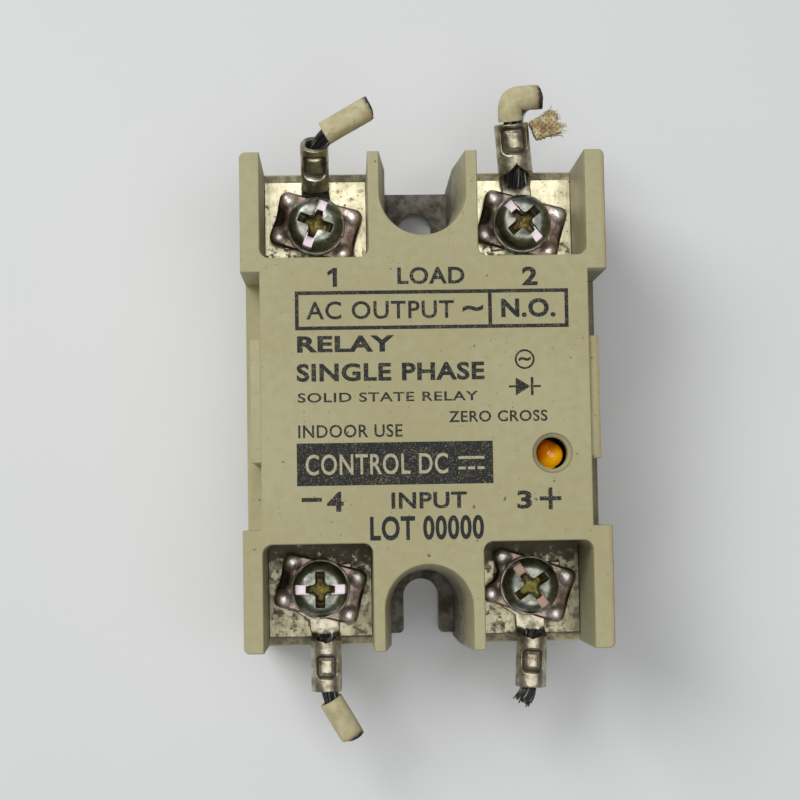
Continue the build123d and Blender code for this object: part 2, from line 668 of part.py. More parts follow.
def make_axial(part):
    """An axial component: its round body, and two leads bent down through the board."""
    height = BOARD_TOP + part.radius + AXIAL_STAND_OFF
    body = rod((part.x - part.length / 2, part.y, height), (1, 0, 0), part.radius, part.length)
    body += rod((part.x - part.span / 2, part.y, height), (1, 0, 0), LEAD_RADIUS, part.span)
    for x, y in part.holes():
        body += lead(x, y, height) + Pos(x, y, height) * Sphere(LEAD_RADIUS)
    return body


def make_coupler():
    """The opto coupler, a six-pin package."""
    width, length, height = COUPLER_SIZE
    middle = BOARD_TOP + COUPLER_STAND_OFF + height / 2
    body = Pos(*COUPLER_AT, middle) * Box(width, length, height)
    for x, y in COUPLER_HOLES:
        body += lead(x, y, middle)
    return body


def make_capacitor():
    """The box film capacitor of the snubber."""
    width, depth, height = CAPACITOR_SIZE
    foot = BOARD_TOP + CAPACITOR_STAND_OFF
    body = Pos(*CAPACITOR_AT, foot) * extrude(RectangleRounded(width, depth, CAPACITOR_CORNER), height)
    for x, y in CAPACITOR_HOLES:
        body += lead(x, y, foot + JOIN)
    return body


def make_varistor():
    """The disc varistor across the load, standing on two leads."""
    x, y = VARISTOR_AT
    centre_z = BOARD_TOP + VARISTOR_STAND_OFF + VARISTOR_RADIUS
    body = rod((x, y - VARISTOR_THICKNESS / 2, centre_z), (0, 1, 0), VARISTOR_RADIUS, VARISTOR_THICKNESS)
    for hole_x, hole_y in VARISTOR_HOLES:
        body += lead(hole_x, hole_y, centre_z - VARISTOR_RADIUS / 2)
    return body


def make_transistor():
    """A small transistor in a round package with a flat face."""
    x, y = TRANSISTOR_AT
    bottom = BOARD_TOP + TRANSISTOR_STAND_OFF
    top = bottom + TRANSISTOR_HEIGHT
    body = upright(x, y, TRANSISTOR_RADIUS, bottom, top)
    body -= block(
        (x - TRANSISTOR_RADIUS, y - TRANSISTOR_RADIUS - PAST, bottom - PAST),
        (x + TRANSISTOR_RADIUS, y - TRANSISTOR_FLAT, top + PAST))
    for hole_x, hole_y in TRANSISTOR_HOLES:
        body += lead(hole_x, hole_y, bottom + JOIN)
    return body


def make_led():
    """The operation indicator: a domed lamp that stands on its leads under the case's hole."""
    foot = LED_TOP - LED_BODY_LENGTH
    body = upright(LED_X, LED_Y, LED_RADIUS, foot, LED_TOP - LED_RADIUS)
    body += Pos(LED_X, LED_Y, LED_TOP - LED_RADIUS) * Sphere(LED_RADIUS)
    body += upright(LED_X, LED_Y, LED_FLANGE_RADIUS, foot, foot + LED_FLANGE_HEIGHT)
    for x, y in LED_HOLES:
        body += lead(x, y, foot + JOIN)
    return body


# ---------------------------------------------------------------- all nodes

def build_nodes():
    """Every sub-part, by node name."""
    nodes = {
        "case": make_case(),
        "base_plate": make_base_plate(),
        "sealing_gel": make_gel(),
        "ceramic_substrate": make_substrate(),
        "thyristor_chips": make_chips(),
        "gate_leads": make_gate_leads(),
        "load_bus_bar_1": make_bus_bar(-1),
        "load_bus_bar_2": make_bus_bar(1),
        "circuit_board": make_board(),
        "opto_coupler": make_coupler(),
        "snubber_capacitor": make_capacitor(),
        "snubber_resistor": make_axial(SNUBBER_RESISTOR),
        "varistor": make_varistor(),
        "input_transistor": make_transistor(),
        "input_diode": make_axial(INPUT_DIODE),
        "input_resistors": [make_axial(part) for part in INPUT_RESISTORS],
        "gate_resistors": [make_axial(part) for part in GATE_RESISTORS],
        "indicator_led": make_led(),
        "wire_sleeve_1": WIRE_1.make_sleeve(),
        "wire_sleeve_2": make_elbow_sleeve(),
        "frayed_sleeve_2": make_frayed_sleeve(),
        "wire_sleeve_4": WIRE_4.make_sleeve(),
    }
    strands = {
        1: WIRE_1.make_strands(),
        2: make_elbow_strands(),
        3: WIRE_3.make_strands(),
        4: WIRE_4.make_strands(),
    }
    for t in TERMINALS:
        n = t.number
        nodes[f"terminal_plate_{n}"] = make_terminal_plate(t)
        nodes[f"terminal_nut_{n}"] = make_nut(t)
        nodes[f"terminal_screw_{n}"] = make_screw(t)
        nodes[f"spring_washer_{n}"] = make_spring_washer(t)
        nodes[f"clamp_washer_{n}"] = make_clamp_washer(t)
        nodes[f"crimp_lug_{n}"] = make_lug(t)
        nodes[f"wire_strands_{n}"] = strands[n]
    return nodes


os.makedirs("parts", exist_ok=True)
for name, shape in build_nodes().items():
    solids = shape if isinstance(shape, list) else shape.solids()
    export_step(Compound(children=[Solid(s.solid().wrapped) for s in solids]), f"parts/{name}.step")
    print(name, "solids", len(solids))
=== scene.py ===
import json
import logging
import math
from collections.abc import Iterable, Mapping, Sequence
from dataclasses import dataclass, field, replace
from typing import Any

import bmesh
import bpy
from mathutils import Matrix, Vector, noise


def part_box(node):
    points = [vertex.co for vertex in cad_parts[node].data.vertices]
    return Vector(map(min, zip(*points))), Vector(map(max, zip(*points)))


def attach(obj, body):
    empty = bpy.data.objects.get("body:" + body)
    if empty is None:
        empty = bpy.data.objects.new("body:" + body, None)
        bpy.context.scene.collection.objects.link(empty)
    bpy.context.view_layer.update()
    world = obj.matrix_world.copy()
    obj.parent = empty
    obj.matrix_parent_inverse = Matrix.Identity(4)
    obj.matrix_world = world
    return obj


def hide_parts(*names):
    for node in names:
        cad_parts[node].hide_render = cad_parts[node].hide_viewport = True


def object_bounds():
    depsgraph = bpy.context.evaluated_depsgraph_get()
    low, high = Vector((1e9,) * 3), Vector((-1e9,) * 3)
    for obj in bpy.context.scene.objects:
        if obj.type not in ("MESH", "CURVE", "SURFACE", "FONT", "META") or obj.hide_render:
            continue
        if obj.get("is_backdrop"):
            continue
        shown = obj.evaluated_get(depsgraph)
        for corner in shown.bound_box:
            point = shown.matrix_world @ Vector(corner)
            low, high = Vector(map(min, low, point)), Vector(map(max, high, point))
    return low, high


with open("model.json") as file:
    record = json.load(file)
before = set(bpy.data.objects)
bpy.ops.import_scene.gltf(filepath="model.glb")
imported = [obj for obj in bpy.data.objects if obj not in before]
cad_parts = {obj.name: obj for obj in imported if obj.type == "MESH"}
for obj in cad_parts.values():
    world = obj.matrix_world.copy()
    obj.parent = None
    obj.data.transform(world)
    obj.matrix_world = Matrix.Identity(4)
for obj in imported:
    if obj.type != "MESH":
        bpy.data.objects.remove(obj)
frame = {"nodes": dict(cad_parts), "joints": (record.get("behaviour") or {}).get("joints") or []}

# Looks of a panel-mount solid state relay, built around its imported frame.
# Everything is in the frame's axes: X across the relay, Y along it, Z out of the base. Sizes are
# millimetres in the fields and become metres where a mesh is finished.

MM = 0.001
TAU = 2 * math.pi
LOG = logging.getLogger("relay")
CAD_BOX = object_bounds()
Colour = tuple[float, float, float]
Point = tuple[float, float, float]


# ------------------------------------------------------------------ node expressions

@dataclass
class Sock:
    """One output of a node, with the arithmetic that adds Math nodes."""

    graph: "Graph"
    socket: bpy.types.NodeSocket

    def math(self, operation: str, *operands: Any) -> "Sock":
        """Add a Math node.

        Args:
            operation: The node's operation.
            operands: Its values or links, in order.

        Returns:
            The node's result.
        """
        inputs = dict(enumerate(operands))
        return self.graph.node("ShaderNodeMath", {"operation": operation}, inputs)

    def __add__(self, other: Any) -> "Sock":
        """Sum."""
        return self.math("ADD", self, other)

    def __radd__(self, other: Any) -> "Sock":
        """Sum, reflected."""
        return self.math("ADD", other, self)

    def __sub__(self, other: Any) -> "Sock":
        """Difference."""
        return self.math("SUBTRACT", self, other)

    def __rsub__(self, other: Any) -> "Sock":
        """Difference, reflected."""
        return self.math("SUBTRACT", other, self)

    def __mul__(self, other: Any) -> "Sock":
        """Product."""
        return self.math("MULTIPLY", self, other)

    def __rmul__(self, other: Any) -> "Sock":
        """Product, reflected."""
        return self.math("MULTIPLY", other, self)

    def __truediv__(self, other: Any) -> "Sock":
        """Quotient."""
        return self.math("DIVIDE", self, other)

    def __abs__(self) -> "Sock":
        """Size without sign."""
        return self.math("ABSOLUTE", self)

    def also(self, out: str) -> "Sock":
        """Another output of the same node."""
        return Sock(self.graph, self.socket.node.outputs[out])

    def __or__(self, other: "Sock") -> "Sock":
        """The larger of two masks."""
        return self.math("MAXIMUM", self, other)

    def step(self, low: float, high: float) -> "Sock":
        """Turn the value into a soft mask.

        Args:
            low: Value where the mask is 0.
            high: Value where the mask is 1; it may be the smaller one.

        Returns:
            A mask from 0 to 1.
        """
        settings = {"interpolation_type": "SMOOTHSTEP"}
        if low < high:
            return self.graph.node("ShaderNodeMapRange", settings, {0: self, 1: low, 2: high})
        flipped = {0: self, 1: high, 2: low, 3: 1.0, 4: 0.0}
        return self.graph.node("ShaderNodeMapRange", settings, flipped)


class Graph:
    """A node tree that is written as expressions."""

    def __init__(self, tree: bpy.types.NodeTree) -> None:
        """Wrap a tree."""
        self.tree = tree

    @staticmethod
    def port(sockets: Any, key: int | str | None) -> bpy.types.NodeSocket:
        """Find a socket in use, by index, by name, or the first."""
        if isinstance(key, int):
            return sockets[key]
        return next(s for s in sockets if s.enabled and key in (None, s.name))

    def feed(self, socket: bpy.types.NodeSocket, value: Any) -> None:
        """Link a socket, or set its own value.

        Args:
            socket: An input of a node.
            value: A Sock to link, or a number, vector, colour or data block.
        """
        if isinstance(value, Sock):
            self.tree.links.new(value.socket, socket)
        elif isinstance(value, tuple) and socket.type == "RGBA":
            socket.default_value = (*value[:3], 1.0)
        else:
            socket.default_value = value

    def node(self, kind: str, settings: Mapping[str, Any] | None = None,
             inputs: Mapping[Any, Any] | None = None, out: int | str | None = None) -> Sock:
        """Add any node.

        Args:
            kind: The node's type name.
            settings: Its properties, set first; "stops" are a colour ramp's positions and colours.
            inputs: Values or links of its sockets, by name or index.
            out: The output to return, by name or index; the first in use by default.

        Returns:
            That output.
        """
        made = self.tree.nodes.new(kind)
        for key, value in (settings or {}).items():
            if key == "stops":
                self.set_stops(made.color_ramp, value)
            else:
                setattr(made, key, value)
        for key, value in (inputs or {}).items():
            self.feed(self.port(made.inputs, key), value)
        return Sock(self, self.port(made.outputs or made.inputs, out))

    @staticmethod
    def set_stops(ramp: bpy.types.ColorRamp, stops: Sequence[tuple[float, Colour]]) -> None:
        """Give a colour ramp its stops."""
        while len(ramp.elements) < len(stops):
            ramp.elements.new(1.0)
        for element, (place, colour) in zip(ramp.elements, stops):
            element.position = place
            element.color = (*colour, 1.0)

    def vector(self, operation: str, *operands: Any, out: str | None = None, **named: Any) -> Sock:
        """Add a Vector Math node."""
        inputs = {**dict(enumerate(operands)), **named}
        return self.node("ShaderNodeVectorMath", {"operation": operation}, inputs, out)


class Paint(Graph):
    """A material's node tree, in millimetres of the piece's own object space."""

    def __init__(self, name: str) -> None:
        """Start a material of that name."""
        self.material = bpy.data.materials.new(name)
        self.material.use_nodes = True
        self.material.node_tree.nodes.clear()
        super().__init__(self.material.node_tree)
        place = self.node("ShaderNodeTexCoord", out="Object")
        self.place = self.vector("SCALE", place, Scale=1 / MM)
        self.x, self.y, self.z = (
            self.node("ShaderNodeSeparateXYZ", inputs={0: self.place}, out=axis) for axis in "XYZ")

    def attribute(self, name: str) -> Sock:
        """Read one of the piece's own number attributes."""
        settings = {"attribute_name": name, "attribute_type": "GEOMETRY"}
        return self.node("ShaderNodeAttribute", settings, out="Fac")

    def stretched(self, factors: Point) -> Sock:
        """The place with each axis multiplied, to draw a pattern out along an axis."""
        return self.vector("MULTIPLY", self.place, factors)

    def noise(self, scale: float, detail: float = 2.0, place: Sock | None = None,
              rough: float = 0.5) -> Sock:
        """Cloudy noise.

        Args:
            scale: Clouds per millimetre.
            detail: Octaves.
            place: Where it is read; the object's place by default.
            rough: How strong the fine octaves are.

        Returns:
            A value near 0.5.
        """
        inputs = {"Vector": place or self.place, "Scale": scale, "Detail": detail, "Roughness": rough}
        return self.node("ShaderNodeTexNoise", inputs=inputs, out="Fac")

    def specks(self, scale: float, size: float, share: float) -> Sock:
        """Small separate round marks.

        Args:
            scale: Cells per millimetre.
            size: A mark's radius in cells.
            share: Share of the cells that hold a mark.

        Returns:
            A mask of the marks.
        """
        wobble = self.vector("SCALE", self.node("ShaderNodeTexNoise", inputs={
            "Vector": self.place, "Scale": scale * 4, "Detail": 1.0}, out="Color"), Scale=0.35 / scale)
        cell = {"Vector": self.vector("ADD", self.place, wobble), "Scale": scale}
        distance = self.node("ShaderNodeTexVoronoi", inputs=cell, out="Distance")
        tint = self.node("ShaderNodeTexVoronoi", inputs=cell, out="Color")
        pick = self.node("ShaderNodeSeparateXYZ", inputs={0: tint}, out="X")
        return distance.step(size, size * 0.55) * pick.step(share, share * 0.97)

    def mix(self, mask: Any, low: Any, high: Any, blend: str = "MIX") -> Sock:
        """Blend two colours by a mask."""
        settings = {"data_type": "RGBA", "blend_type": blend}
        return self.node("ShaderNodeMix", settings, {"Factor": mask, "A": low, "B": high})

    def finish(self, colour: Any, rough: Any, metal: Any = 0.0, height: Sock | None = None,
               relief: float = 0.01, **constant: Any) -> bpy.types.Material:
        """Close the material with its shader.

        Args:
            colour: Base colour.
            rough: Roughness.
            metal: Metallic.
            height: Relief pattern from 0 to 1.
            relief: Depth of the relief, in millimetres.
            constant: Other shader sockets, with underscores for spaces.

        Returns:
            The material.
        """
        inputs = {"Base Color": colour, "Roughness": rough, "Metallic": metal}
        inputs |= {key.replace("_", " "): value for key, value in constant.items()}
        if height is not None:
            bump = {"Strength": 1.0, "Distance": relief * MM, "Height": height}
            inputs["Normal"] = self.node("ShaderNodeBump", inputs=bump)
        shader = self.node("ShaderNodeBsdfPrincipled", inputs=inputs)
        self.node("ShaderNodeOutputMaterial", inputs={"Surface": shader})
        return self.material


# ------------------------------------------------------------------ finishes

@dataclass(frozen=True)
class Finish:
    """A named finish; subclasses say how it is painted."""

    name: str
    slot: str

    def paint(self) -> bpy.types.Material:
        """Build the material, once for each name."""
        name = f"look_{self.name}"
        return bpy.data.materials.get(name) or self.nodes(Paint(name))

    def nodes(self, p: Paint) -> bpy.types.Material:
        """Paint the material; each finish has its own."""
        raise NotImplementedError


@dataclass(frozen=True)
class CasePlastic(Finish):
    """Moulded khaki plastic with fine grain, stray specks, and grime with painted shade low in its hollows;
    painted shade on its right side and round the lamp hole.
    """

    light: Colour = (0.445, 0.412, 0.235)
    dark: Colour = (0.398, 0.362, 0.190)
    blush: Colour = (0.300, 0.200, 0.100)
    # dark colour for dirt, specks and painted shade
    grime: Colour = (0.070, 0.055, 0.035)
    # dust colour, laid on more strongly deeper in the bays as painted shade
    bay_dust_and_shade: Colour = (0.30, 0.27, 0.20)

    def nodes(self, p: Paint) -> bpy.types.Material:
        """Paint it."""
        tone = p.noise(0.05, 3.0) * 0.6 + p.noise(0.9, 3.0) * 0.4
        colour = p.mix(tone.step(0.36, 0.64), self.dark, self.light)
        patchy = p.noise(0.45, 4.0, rough=0.65).step(0.34, 0.62)
        block_edge = p.x.step(19.8, 20.2) * abs(p.y).step(7.3, 7.0)
        right_edge = (p.x.step(20.7, 21.25) | block_edge) * (0.35 + patchy * 0.65)
        colour = p.mix(right_edge * 0.6, colour, self.blush)
        # painted shade: the right-hand walls of the block, its recess and the ear's outer side are darkened as if
        # out of the light
        right_side_shade = p.x.step(18.95, 19.1) * p.z.step(26.0, 24.0)
        colour = p.mix(right_side_shade * (0.35 + patchy * 0.3), colour, self.grime)
        # painted shade: a thin dark ring round the lamp hole, as if shaded in its groove
        lamp = p.vector("SUBTRACT", p.place, (14.5, -6.5, 0.0))
        from_lamp = p.vector("LENGTH", p.vector("MULTIPLY", lamp, (1.0, 1.0, 0.0)), out="Value")
        ring = from_lamp.step(2.12, 2.26) * from_lamp.step(2.42, 2.30)
        colour = p.mix(ring * 0.5, colour, self.grime)
        # the bay walls take the dust colour more strongly towards the bottom: dust and painted shade
        sunk = p.z.step(26.2, 14.0) * abs(p.x).step(19.9, 19.2) * abs(p.y).step(28.97, 28.7)
        bay = abs(p.y).step(15.5, 17.0)
        notch = abs(p.x).step(5.6, 5.1) * abs(p.y).step(18.5, 19.0)
        film = p.noise(0.35, 4.0, p.stretched((1.0, 1.0, 0.35)), 0.65).step(0.38, 0.74)
        colour = p.mix((sunk * bay * (0.25 + film * 0.75)) * 0.62, colour, self.bay_dust_and_shade)
        stain = p.noise(0.9, 4.0, p.stretched((1.0, 1.0, 0.5)), 0.7).step(0.40, 0.66)
        colour = p.mix(notch * sunk * (0.45 + stain * 0.5), colour, self.grime)
        # dirt and painted shade in patches at the bottom of the bays
        floor = p.z.step(14.5, 12.8) * bay * sunk.step(0.2, 0.4)
        colour = p.mix(floor * p.noise(0.7, 4.0, rough=0.7).step(0.36, 0.6) * 0.7, colour, self.grime)
        small = p.specks(0.55, 0.11, 0.34)
        fine = p.specks(1.7, 0.14, 0.26)
        handled = p.specks(1.0, 0.17, 0.6) * p.x.step(15.8, 17.5) * abs(p.y).step(9.0, 7.5)
        colour = p.mix((small | fine | handled) * 0.78, colour, self.grime)
        rough = 0.46 + p.noise(0.5, 3.0) * 0.14
        grain = p.noise(6.0, 3.0, rough=0.6) * 0.7 + p.noise(1.1, 2.0) * 0.3
        return p.finish(colour, rough, height=grain, relief=0.018, Specular_IOR_Level=0.42)


@dataclass(frozen=True)
class CastPlate(Finish):
    """Dull grey base plate, stained brown and given painted shade where it lies open at the bottom of the notches.
    """

    metal: Colour = (0.52, 0.50, 0.45)
    stain: Colour = (0.085, 0.065, 0.042)

    def nodes(self, p: Paint) -> bpy.types.Material:
        """Paint it."""
        # stain and painted shade: the plate is darkened where it lies open at the bottom of the deep notches
        open_part = abs(p.y).step(18.0, 20.0) * p.z.step(1.0, 1.9)
        cloud = p.noise(0.55, 5.0, rough=0.68).step(0.34, 0.66)
        marks = p.noise(0.12, 4.0).step(0.45, 0.75) * 0.5
        colour = p.mix(marks, self.metal, (0.36, 0.34, 0.29))
        colour = p.mix(open_part * (0.55 + cloud * 0.42), colour, self.stain)
        colour = p.mix(p.specks(0.9, 0.16, 0.3) * 0.6, colour, self.stain)
        brushed = p.noise(1.4, 4.0, p.stretched((6.0, 0.25, 1.0)))
        rough = 0.42 + brushed * 0.2 + open_part * 0.2
        return p.finish(colour, rough, 1.0 - open_part * 0.55, brushed, 0.008)


@dataclass(frozen=True)
class ContactPlating(Finish):
    """Yellow plating of the contact plates, spotted and dirty towards the walls."""

    bright: Colour = (0.90, 0.84, 0.58)
    dull: Colour = (0.60, 0.54, 0.36)
    dirt: Colour = (0.11, 0.09, 0.06)
    dirtiness: float = 0.35

    def nodes(self, p: Paint) -> bpy.types.Material:
        """Paint it."""
        cloud = p.noise(0.45, 4.0, rough=0.62)
        colour = p.mix(cloud.step(0.36, 0.66), self.bright, self.dull)
        back = abs(p.y).step(21.0, 16.8)
        spread = p.noise(1.1, 5.0, rough=0.72)
        patch = (spread + back * 0.22 + (self.dirtiness - 0.35) * 0.45).step(0.52, 0.70)
        colour = p.mix(patch * 0.85, colour, self.dirt)
        dots = p.specks(1.9, 0.26, 0.25 + self.dirtiness * 0.5) | p.specks(0.8, 0.13, 0.3)
        colour = p.mix(dots * 0.8, colour, self.dirt)
        rolled = p.noise(0.9, 3.0, p.stretched((3.0, 0.35, 1.0)))
        rough = 0.24 + rolled * 0.16 + patch * 0.35
        return p.finish(colour, rough, 1.0 - patch * 0.6, rolled * 0.6 + spread * 0.4, 0.03)


@dataclass(frozen=True)
class ScrewPlating(Finish):
    """Aged grey-green plating; a rubbed band with a painted reflection on the slot floors, and olive grime with
    painted shade and painted gold glints down in the cross.
    """

    metal: Colour = (0.36, 0.37, 0.31)
    dark: Colour = (0.17, 0.18, 0.15)
    # colour of the rubbed band on the slot floor, with a painted reflection in it
    slot_floor_sheen: Colour = (0.56, 0.48, 0.51)
    grime: Colour = (0.19, 0.155, 0.035)
    gold: Colour = (0.42, 0.28, 0.05)
    soot: Colour = (0.07, 0.065, 0.05)
    axis: Point = (0.0, 0.0, 0.0)
    head_top: float = 18.47
    slot_depth: float = 0.95
    worn_sheen_reach: tuple[float, float] = (1.45, 2.95)

    def nodes(self, p: Paint) -> bpy.types.Material:
        """Paint it."""
        near, far = self.worn_sheen_reach
        plan = p.vector("MULTIPLY", p.vector("SUBTRACT", p.place, self.axis), (1.0, 1.0, 0.0))
        away = p.vector("LENGTH", plan, out="Value")
        cloud = p.noise(0.8, 4.0, rough=0.6)
        colour = p.mix(cloud.step(0.35, 0.65), self.metal, self.dark)
        floor_z = self.head_top - self.slot_depth
        recess = p.attribute("recess")
        floor = recess.step(0.4, 0.6) * p.z.step(floor_z + 0.12, floor_z + 0.04)
        colour = p.mix(floor, colour, self.soot)
        # rubbed metal and a painted reflection: a bright band across each slot floor
        rubbed_sheen = away.step(near - 0.06, near + 0.06) * away.step(far + 0.08, far - 0.04)
        colour = p.mix(floor * rubbed_sheen, colour, self.slot_floor_sheen)
        # olive grime and painted shade down in the cross, with painted gold glints near the middle
        pit = recess.step(0.4, 0.6) * p.z.step(floor_z - 0.03, floor_z - 0.35)
        olive = p.mix(p.noise(1.6, 4.0).step(0.35, 0.62), self.grime, (0.05, 0.043, 0.018))
        glint = away.step(1.0, 0.2) * p.noise(3.0, 3.0).step(0.48, 0.60)
        olive = p.mix(glint, olive, self.gold)
        colour = p.mix(pit, colour, olive)
        tarnish = p.noise(2.2, 5.0, rough=0.7).step(0.50, 0.66) * (1 - recess.step(0.4, 0.6))
        colour = p.mix(tarnish * 0.6, colour, (0.06, 0.055, 0.04))
        colour = p.mix(p.specks(1.4, 0.15, 0.25) * 0.6, colour, (0.05, 0.045, 0.035))
        rough = 0.26 + cloud * 0.14 + pit * 0.25
        return p.finish(colour, rough, 1.0 - pit * 0.45, p.noise(1.7, 5.0, rough=0.6), 0.03)


@dataclass(frozen=True)
class TarnishedPlating(Finish):
    """Dark tarnished plating with a pink and straw bloom, a painted highlight on its high spots and painted shade
    in its low parts.
    """

    def nodes(self, p: Paint) -> bpy.types.Material:
        """Paint it."""
        cloud = p.noise(0.55, 4.0, rough=0.6)
        stops = [(0.30, (0.20, 0.165, 0.11)), (0.45, (0.38, 0.27, 0.21)),
                 (0.55, (0.41, 0.31, 0.28)), (0.66, (0.20, 0.185, 0.13))]
        bloom = p.node("ShaderNodeValToRGB", {"stops": stops}, {"Fac": cloud})
        high = p.attribute("height")
        # painted highlight: the high spots by the domed corners are painted pale
        colour = p.mix(high.step(0.50, 0.95) * 0.8, bloom, (0.93, 0.86, 0.82))
        # painted shade: the low, dished parts are painted near black
        colour = p.mix(high.step(0.40, 0.12) * 0.85, colour, (0.035, 0.030, 0.022))
        grit = p.noise(3.2, 5.0, rough=0.75).step(0.52, 0.66)
        colour = p.mix(grit * 0.6, colour, (0.07, 0.055, 0.04))
        rough = 0.27 + cloud * 0.16 + grit * 0.2
        return p.finish(colour, rough, 1.0, p.noise(1.5, 5.0, rough=0.65), 0.07)


@dataclass(frozen=True)
class TinnedLug(Finish):
    """Grimy tinned metal: rubbed pale on the high faces, black in the dents, under the curl and on the neck from
    grime and painted shade.
    """

    metal: Colour = (0.56, 0.52, 0.40)
    brown: Colour = (0.26, 0.22, 0.14)
    soot: Colour = (0.035, 0.032, 0.026)

    def nodes(self, p: Paint) -> bpy.types.Material:
        """Paint it."""
        cloud = p.noise(0.7, 4.0, rough=0.65)
        colour = p.mix(cloud.step(0.36, 0.66), self.metal, self.brown)
        # grime and painted shade from the lug: dark in the dents, under the barrel and on the neck
        grime = p.attribute("grime")
        ragged = (grime + (p.noise(1.6, 5.0, rough=0.7) - 0.5) * 0.8).step(0.35, 0.75)
        colour = p.mix(ragged * 0.92, colour, self.soot)
        spots = p.specks(1.5, 0.2, 0.35)
        colour = p.mix(spots * 0.6, colour, self.soot)
        rough = 0.30 + cloud * 0.16 + ragged * 0.25
        return p.finish(colour, rough, 1.0 - ragged * 0.5, p.noise(2.0, 5.0, rough=0.65), 0.03)


@dataclass(frozen=True)
class BlackenedWire(Finish):
    """Fine wire strands, mostly blackened, with a little bare metal."""

    black: Colour = (0.018, 0.017, 0.016)
    bare: Colour = (0.30, 0.30, 0.27)

    def nodes(self, p: Paint) -> bpy.types.Material:
        """Paint it."""
        strand = p.attribute("strand_tint")
        worn = (strand * 0.55 + p.noise(1.1, 4.0) * 0.6).step(0.62, 0.86)
        colour = p.mix(worn, self.black, self.bare)
        return p.finish(colour, 0.42 - worn * 0.1, 0.35 + worn * 0.6, p.noise(5.0, 3.0), 0.01)


@dataclass(frozen=True)
class SleevePlastic(Finish):
    """Cream insulation, smudged, and scorched black at the cut."""

    cut: Point = (0.0, 0.0, 0.0)
    heading: Point = (1.0, 0.0, 0.0)
    scorch: float = 0.9
    cream: Colour = (0.58, 0.53, 0.32)
    shade: Colour = (0.47, 0.41, 0.22)
    soot: Colour = (0.016, 0.013, 0.012)

    def nodes(self, p: Paint) -> bpy.types.Material:
        """Paint it."""
        colour = p.mix(p.noise(0.6, 4.0).step(0.36, 0.66), self.cream, self.shade)
        colour = p.mix(p.noise(1.6, 5.0, rough=0.7).step(0.56, 0.72) * 0.5, colour, (0.22, 0.17, 0.09))
        away = p.vector("SUBTRACT", p.place, self.cut)
        along = p.vector("DOT_PRODUCT", away, self.heading, out="Value")
        ragged = along + (p.noise(1.5, 4.0) - 0.5) * 0.9
        black = ragged.step(-self.scorch, -self.scorch * 0.35)
        brown = ragged.step(-self.scorch * 1.9, -self.scorch * 0.7)
        colour = p.mix(brown * 0.55, colour, (0.20, 0.13, 0.06))
        colour = p.mix(black, colour, self.soot)
        rough = 0.50 + p.noise(1.2, 3.0) * 0.15
        return p.finish(colour, rough, height=p.noise(1.9, 5.0, rough=0.6), relief=0.05,
                        Subsurface_Weight=0.12, Subsurface_Scale=0.0006)


@dataclass(frozen=True)
class FrayedCloth(Finish):
    """Torn tan braid with a coarse weave."""

    tan: Colour = (0.50, 0.38, 0.19)
    pale: Colour = (0.62, 0.56, 0.38)

    def nodes(self, p: Paint) -> bpy.types.Material:
        """Paint it."""
        ridge_a = p.node("ShaderNodeTexWave", {"bands_direction": "DIAGONAL"},
                         {"Vector": p.place, "Scale": 0.9, "Distortion": 2.5, "Detail": 2.0}, "Fac")
        mirrored = p.stretched((-1.0, 1.0, 1.0))
        ridge_b = p.node("ShaderNodeTexWave", {"bands_direction": "DIAGONAL"},
                         {"Vector": mirrored, "Scale": 0.9, "Distortion": 2.5, "Detail": 2.0}, "Fac")
        weave = ridge_a | ridge_b
        colour = p.mix(p.noise(0.9, 4.0).step(0.36, 0.62), self.tan, self.pale)
        colour = p.mix((1 - weave).step(0.35, 0.9) * 0.6, colour, (0.16, 0.10, 0.045))
        colour = p.mix(p.noise(0.7, 5.0, rough=0.7).step(0.46, 0.62) * 0.75, colour, (0.20, 0.125, 0.05))
        return p.finish(colour, 0.9, height=weave, relief=0.08)


@dataclass(frozen=True)
class WornInk(Finish):
    """Black marking ink with pale pinholes."""

    ink: Colour = (0.011, 0.012, 0.013)
    worn: Colour = (0.30, 0.275, 0.165)
    wear: float = 0.5

    def nodes(self, p: Paint) -> bpy.types.Material:
        """Paint it."""
        fine = p.noise(7.0, 3.0, rough=0.75)
        pinholes = (fine + (p.noise(0.8, 3.0) - 0.5) * 0.12 + (self.wear - 0.5) * 0.1).step(0.565, 0.62)
        colour = p.mix(pinholes * 0.85, self.ink, self.worn)
        return p.finish(colour, 0.55 + fine * 0.1, height=1 - pinholes, relief=0.01, Specular_IOR_Level=0.3)


@dataclass(frozen=True)
class AmberEpoxy(Finish):
    """Clear tinted epoxy of the lamp, with painted light: its far side is painted brighter and given a painted
    glow.
    """

    amber: Colour = (1.0, 0.52, 0.010)
    # the near side of the dome, painted darker than the far side
    shaded_amber: Colour = (0.80, 0.24, 0.0)
    glow: Colour = (1.0, 0.46, 0.0)
    centre: tuple[float, float] = (14.5, -6.5)

    def nodes(self, p: Paint) -> bpy.types.Material:
        """Paint it."""
        # painted light: the far side of the dome is painted brighter and glowing, as if the epoxy gathered light
        # there
        painted_gather = (p.x - self.centre[0]) * 0.6 - (p.y - self.centre[1]) * 0.8 + p.noise(0.7, 2.0) - 0.5
        painted_far_side = painted_gather.step(-0.4, 1.1)
        colour = p.mix(painted_far_side, self.shaded_amber, self.amber)
        glow = p.mix(painted_far_side, (0.10, 0.02, 0.0), self.glow)
        return p.finish(colour, 0.10 + p.noise(1.5, 3.0) * 0.06, height=p.noise(2.0, 3.0), relief=0.01,
                        Transmission_Weight=0.30, IOR=1.5, Coat_Weight=0.5, Coat_Roughness=0.04,
                        Emission_Color=glow, Emission_Strength=0.35)


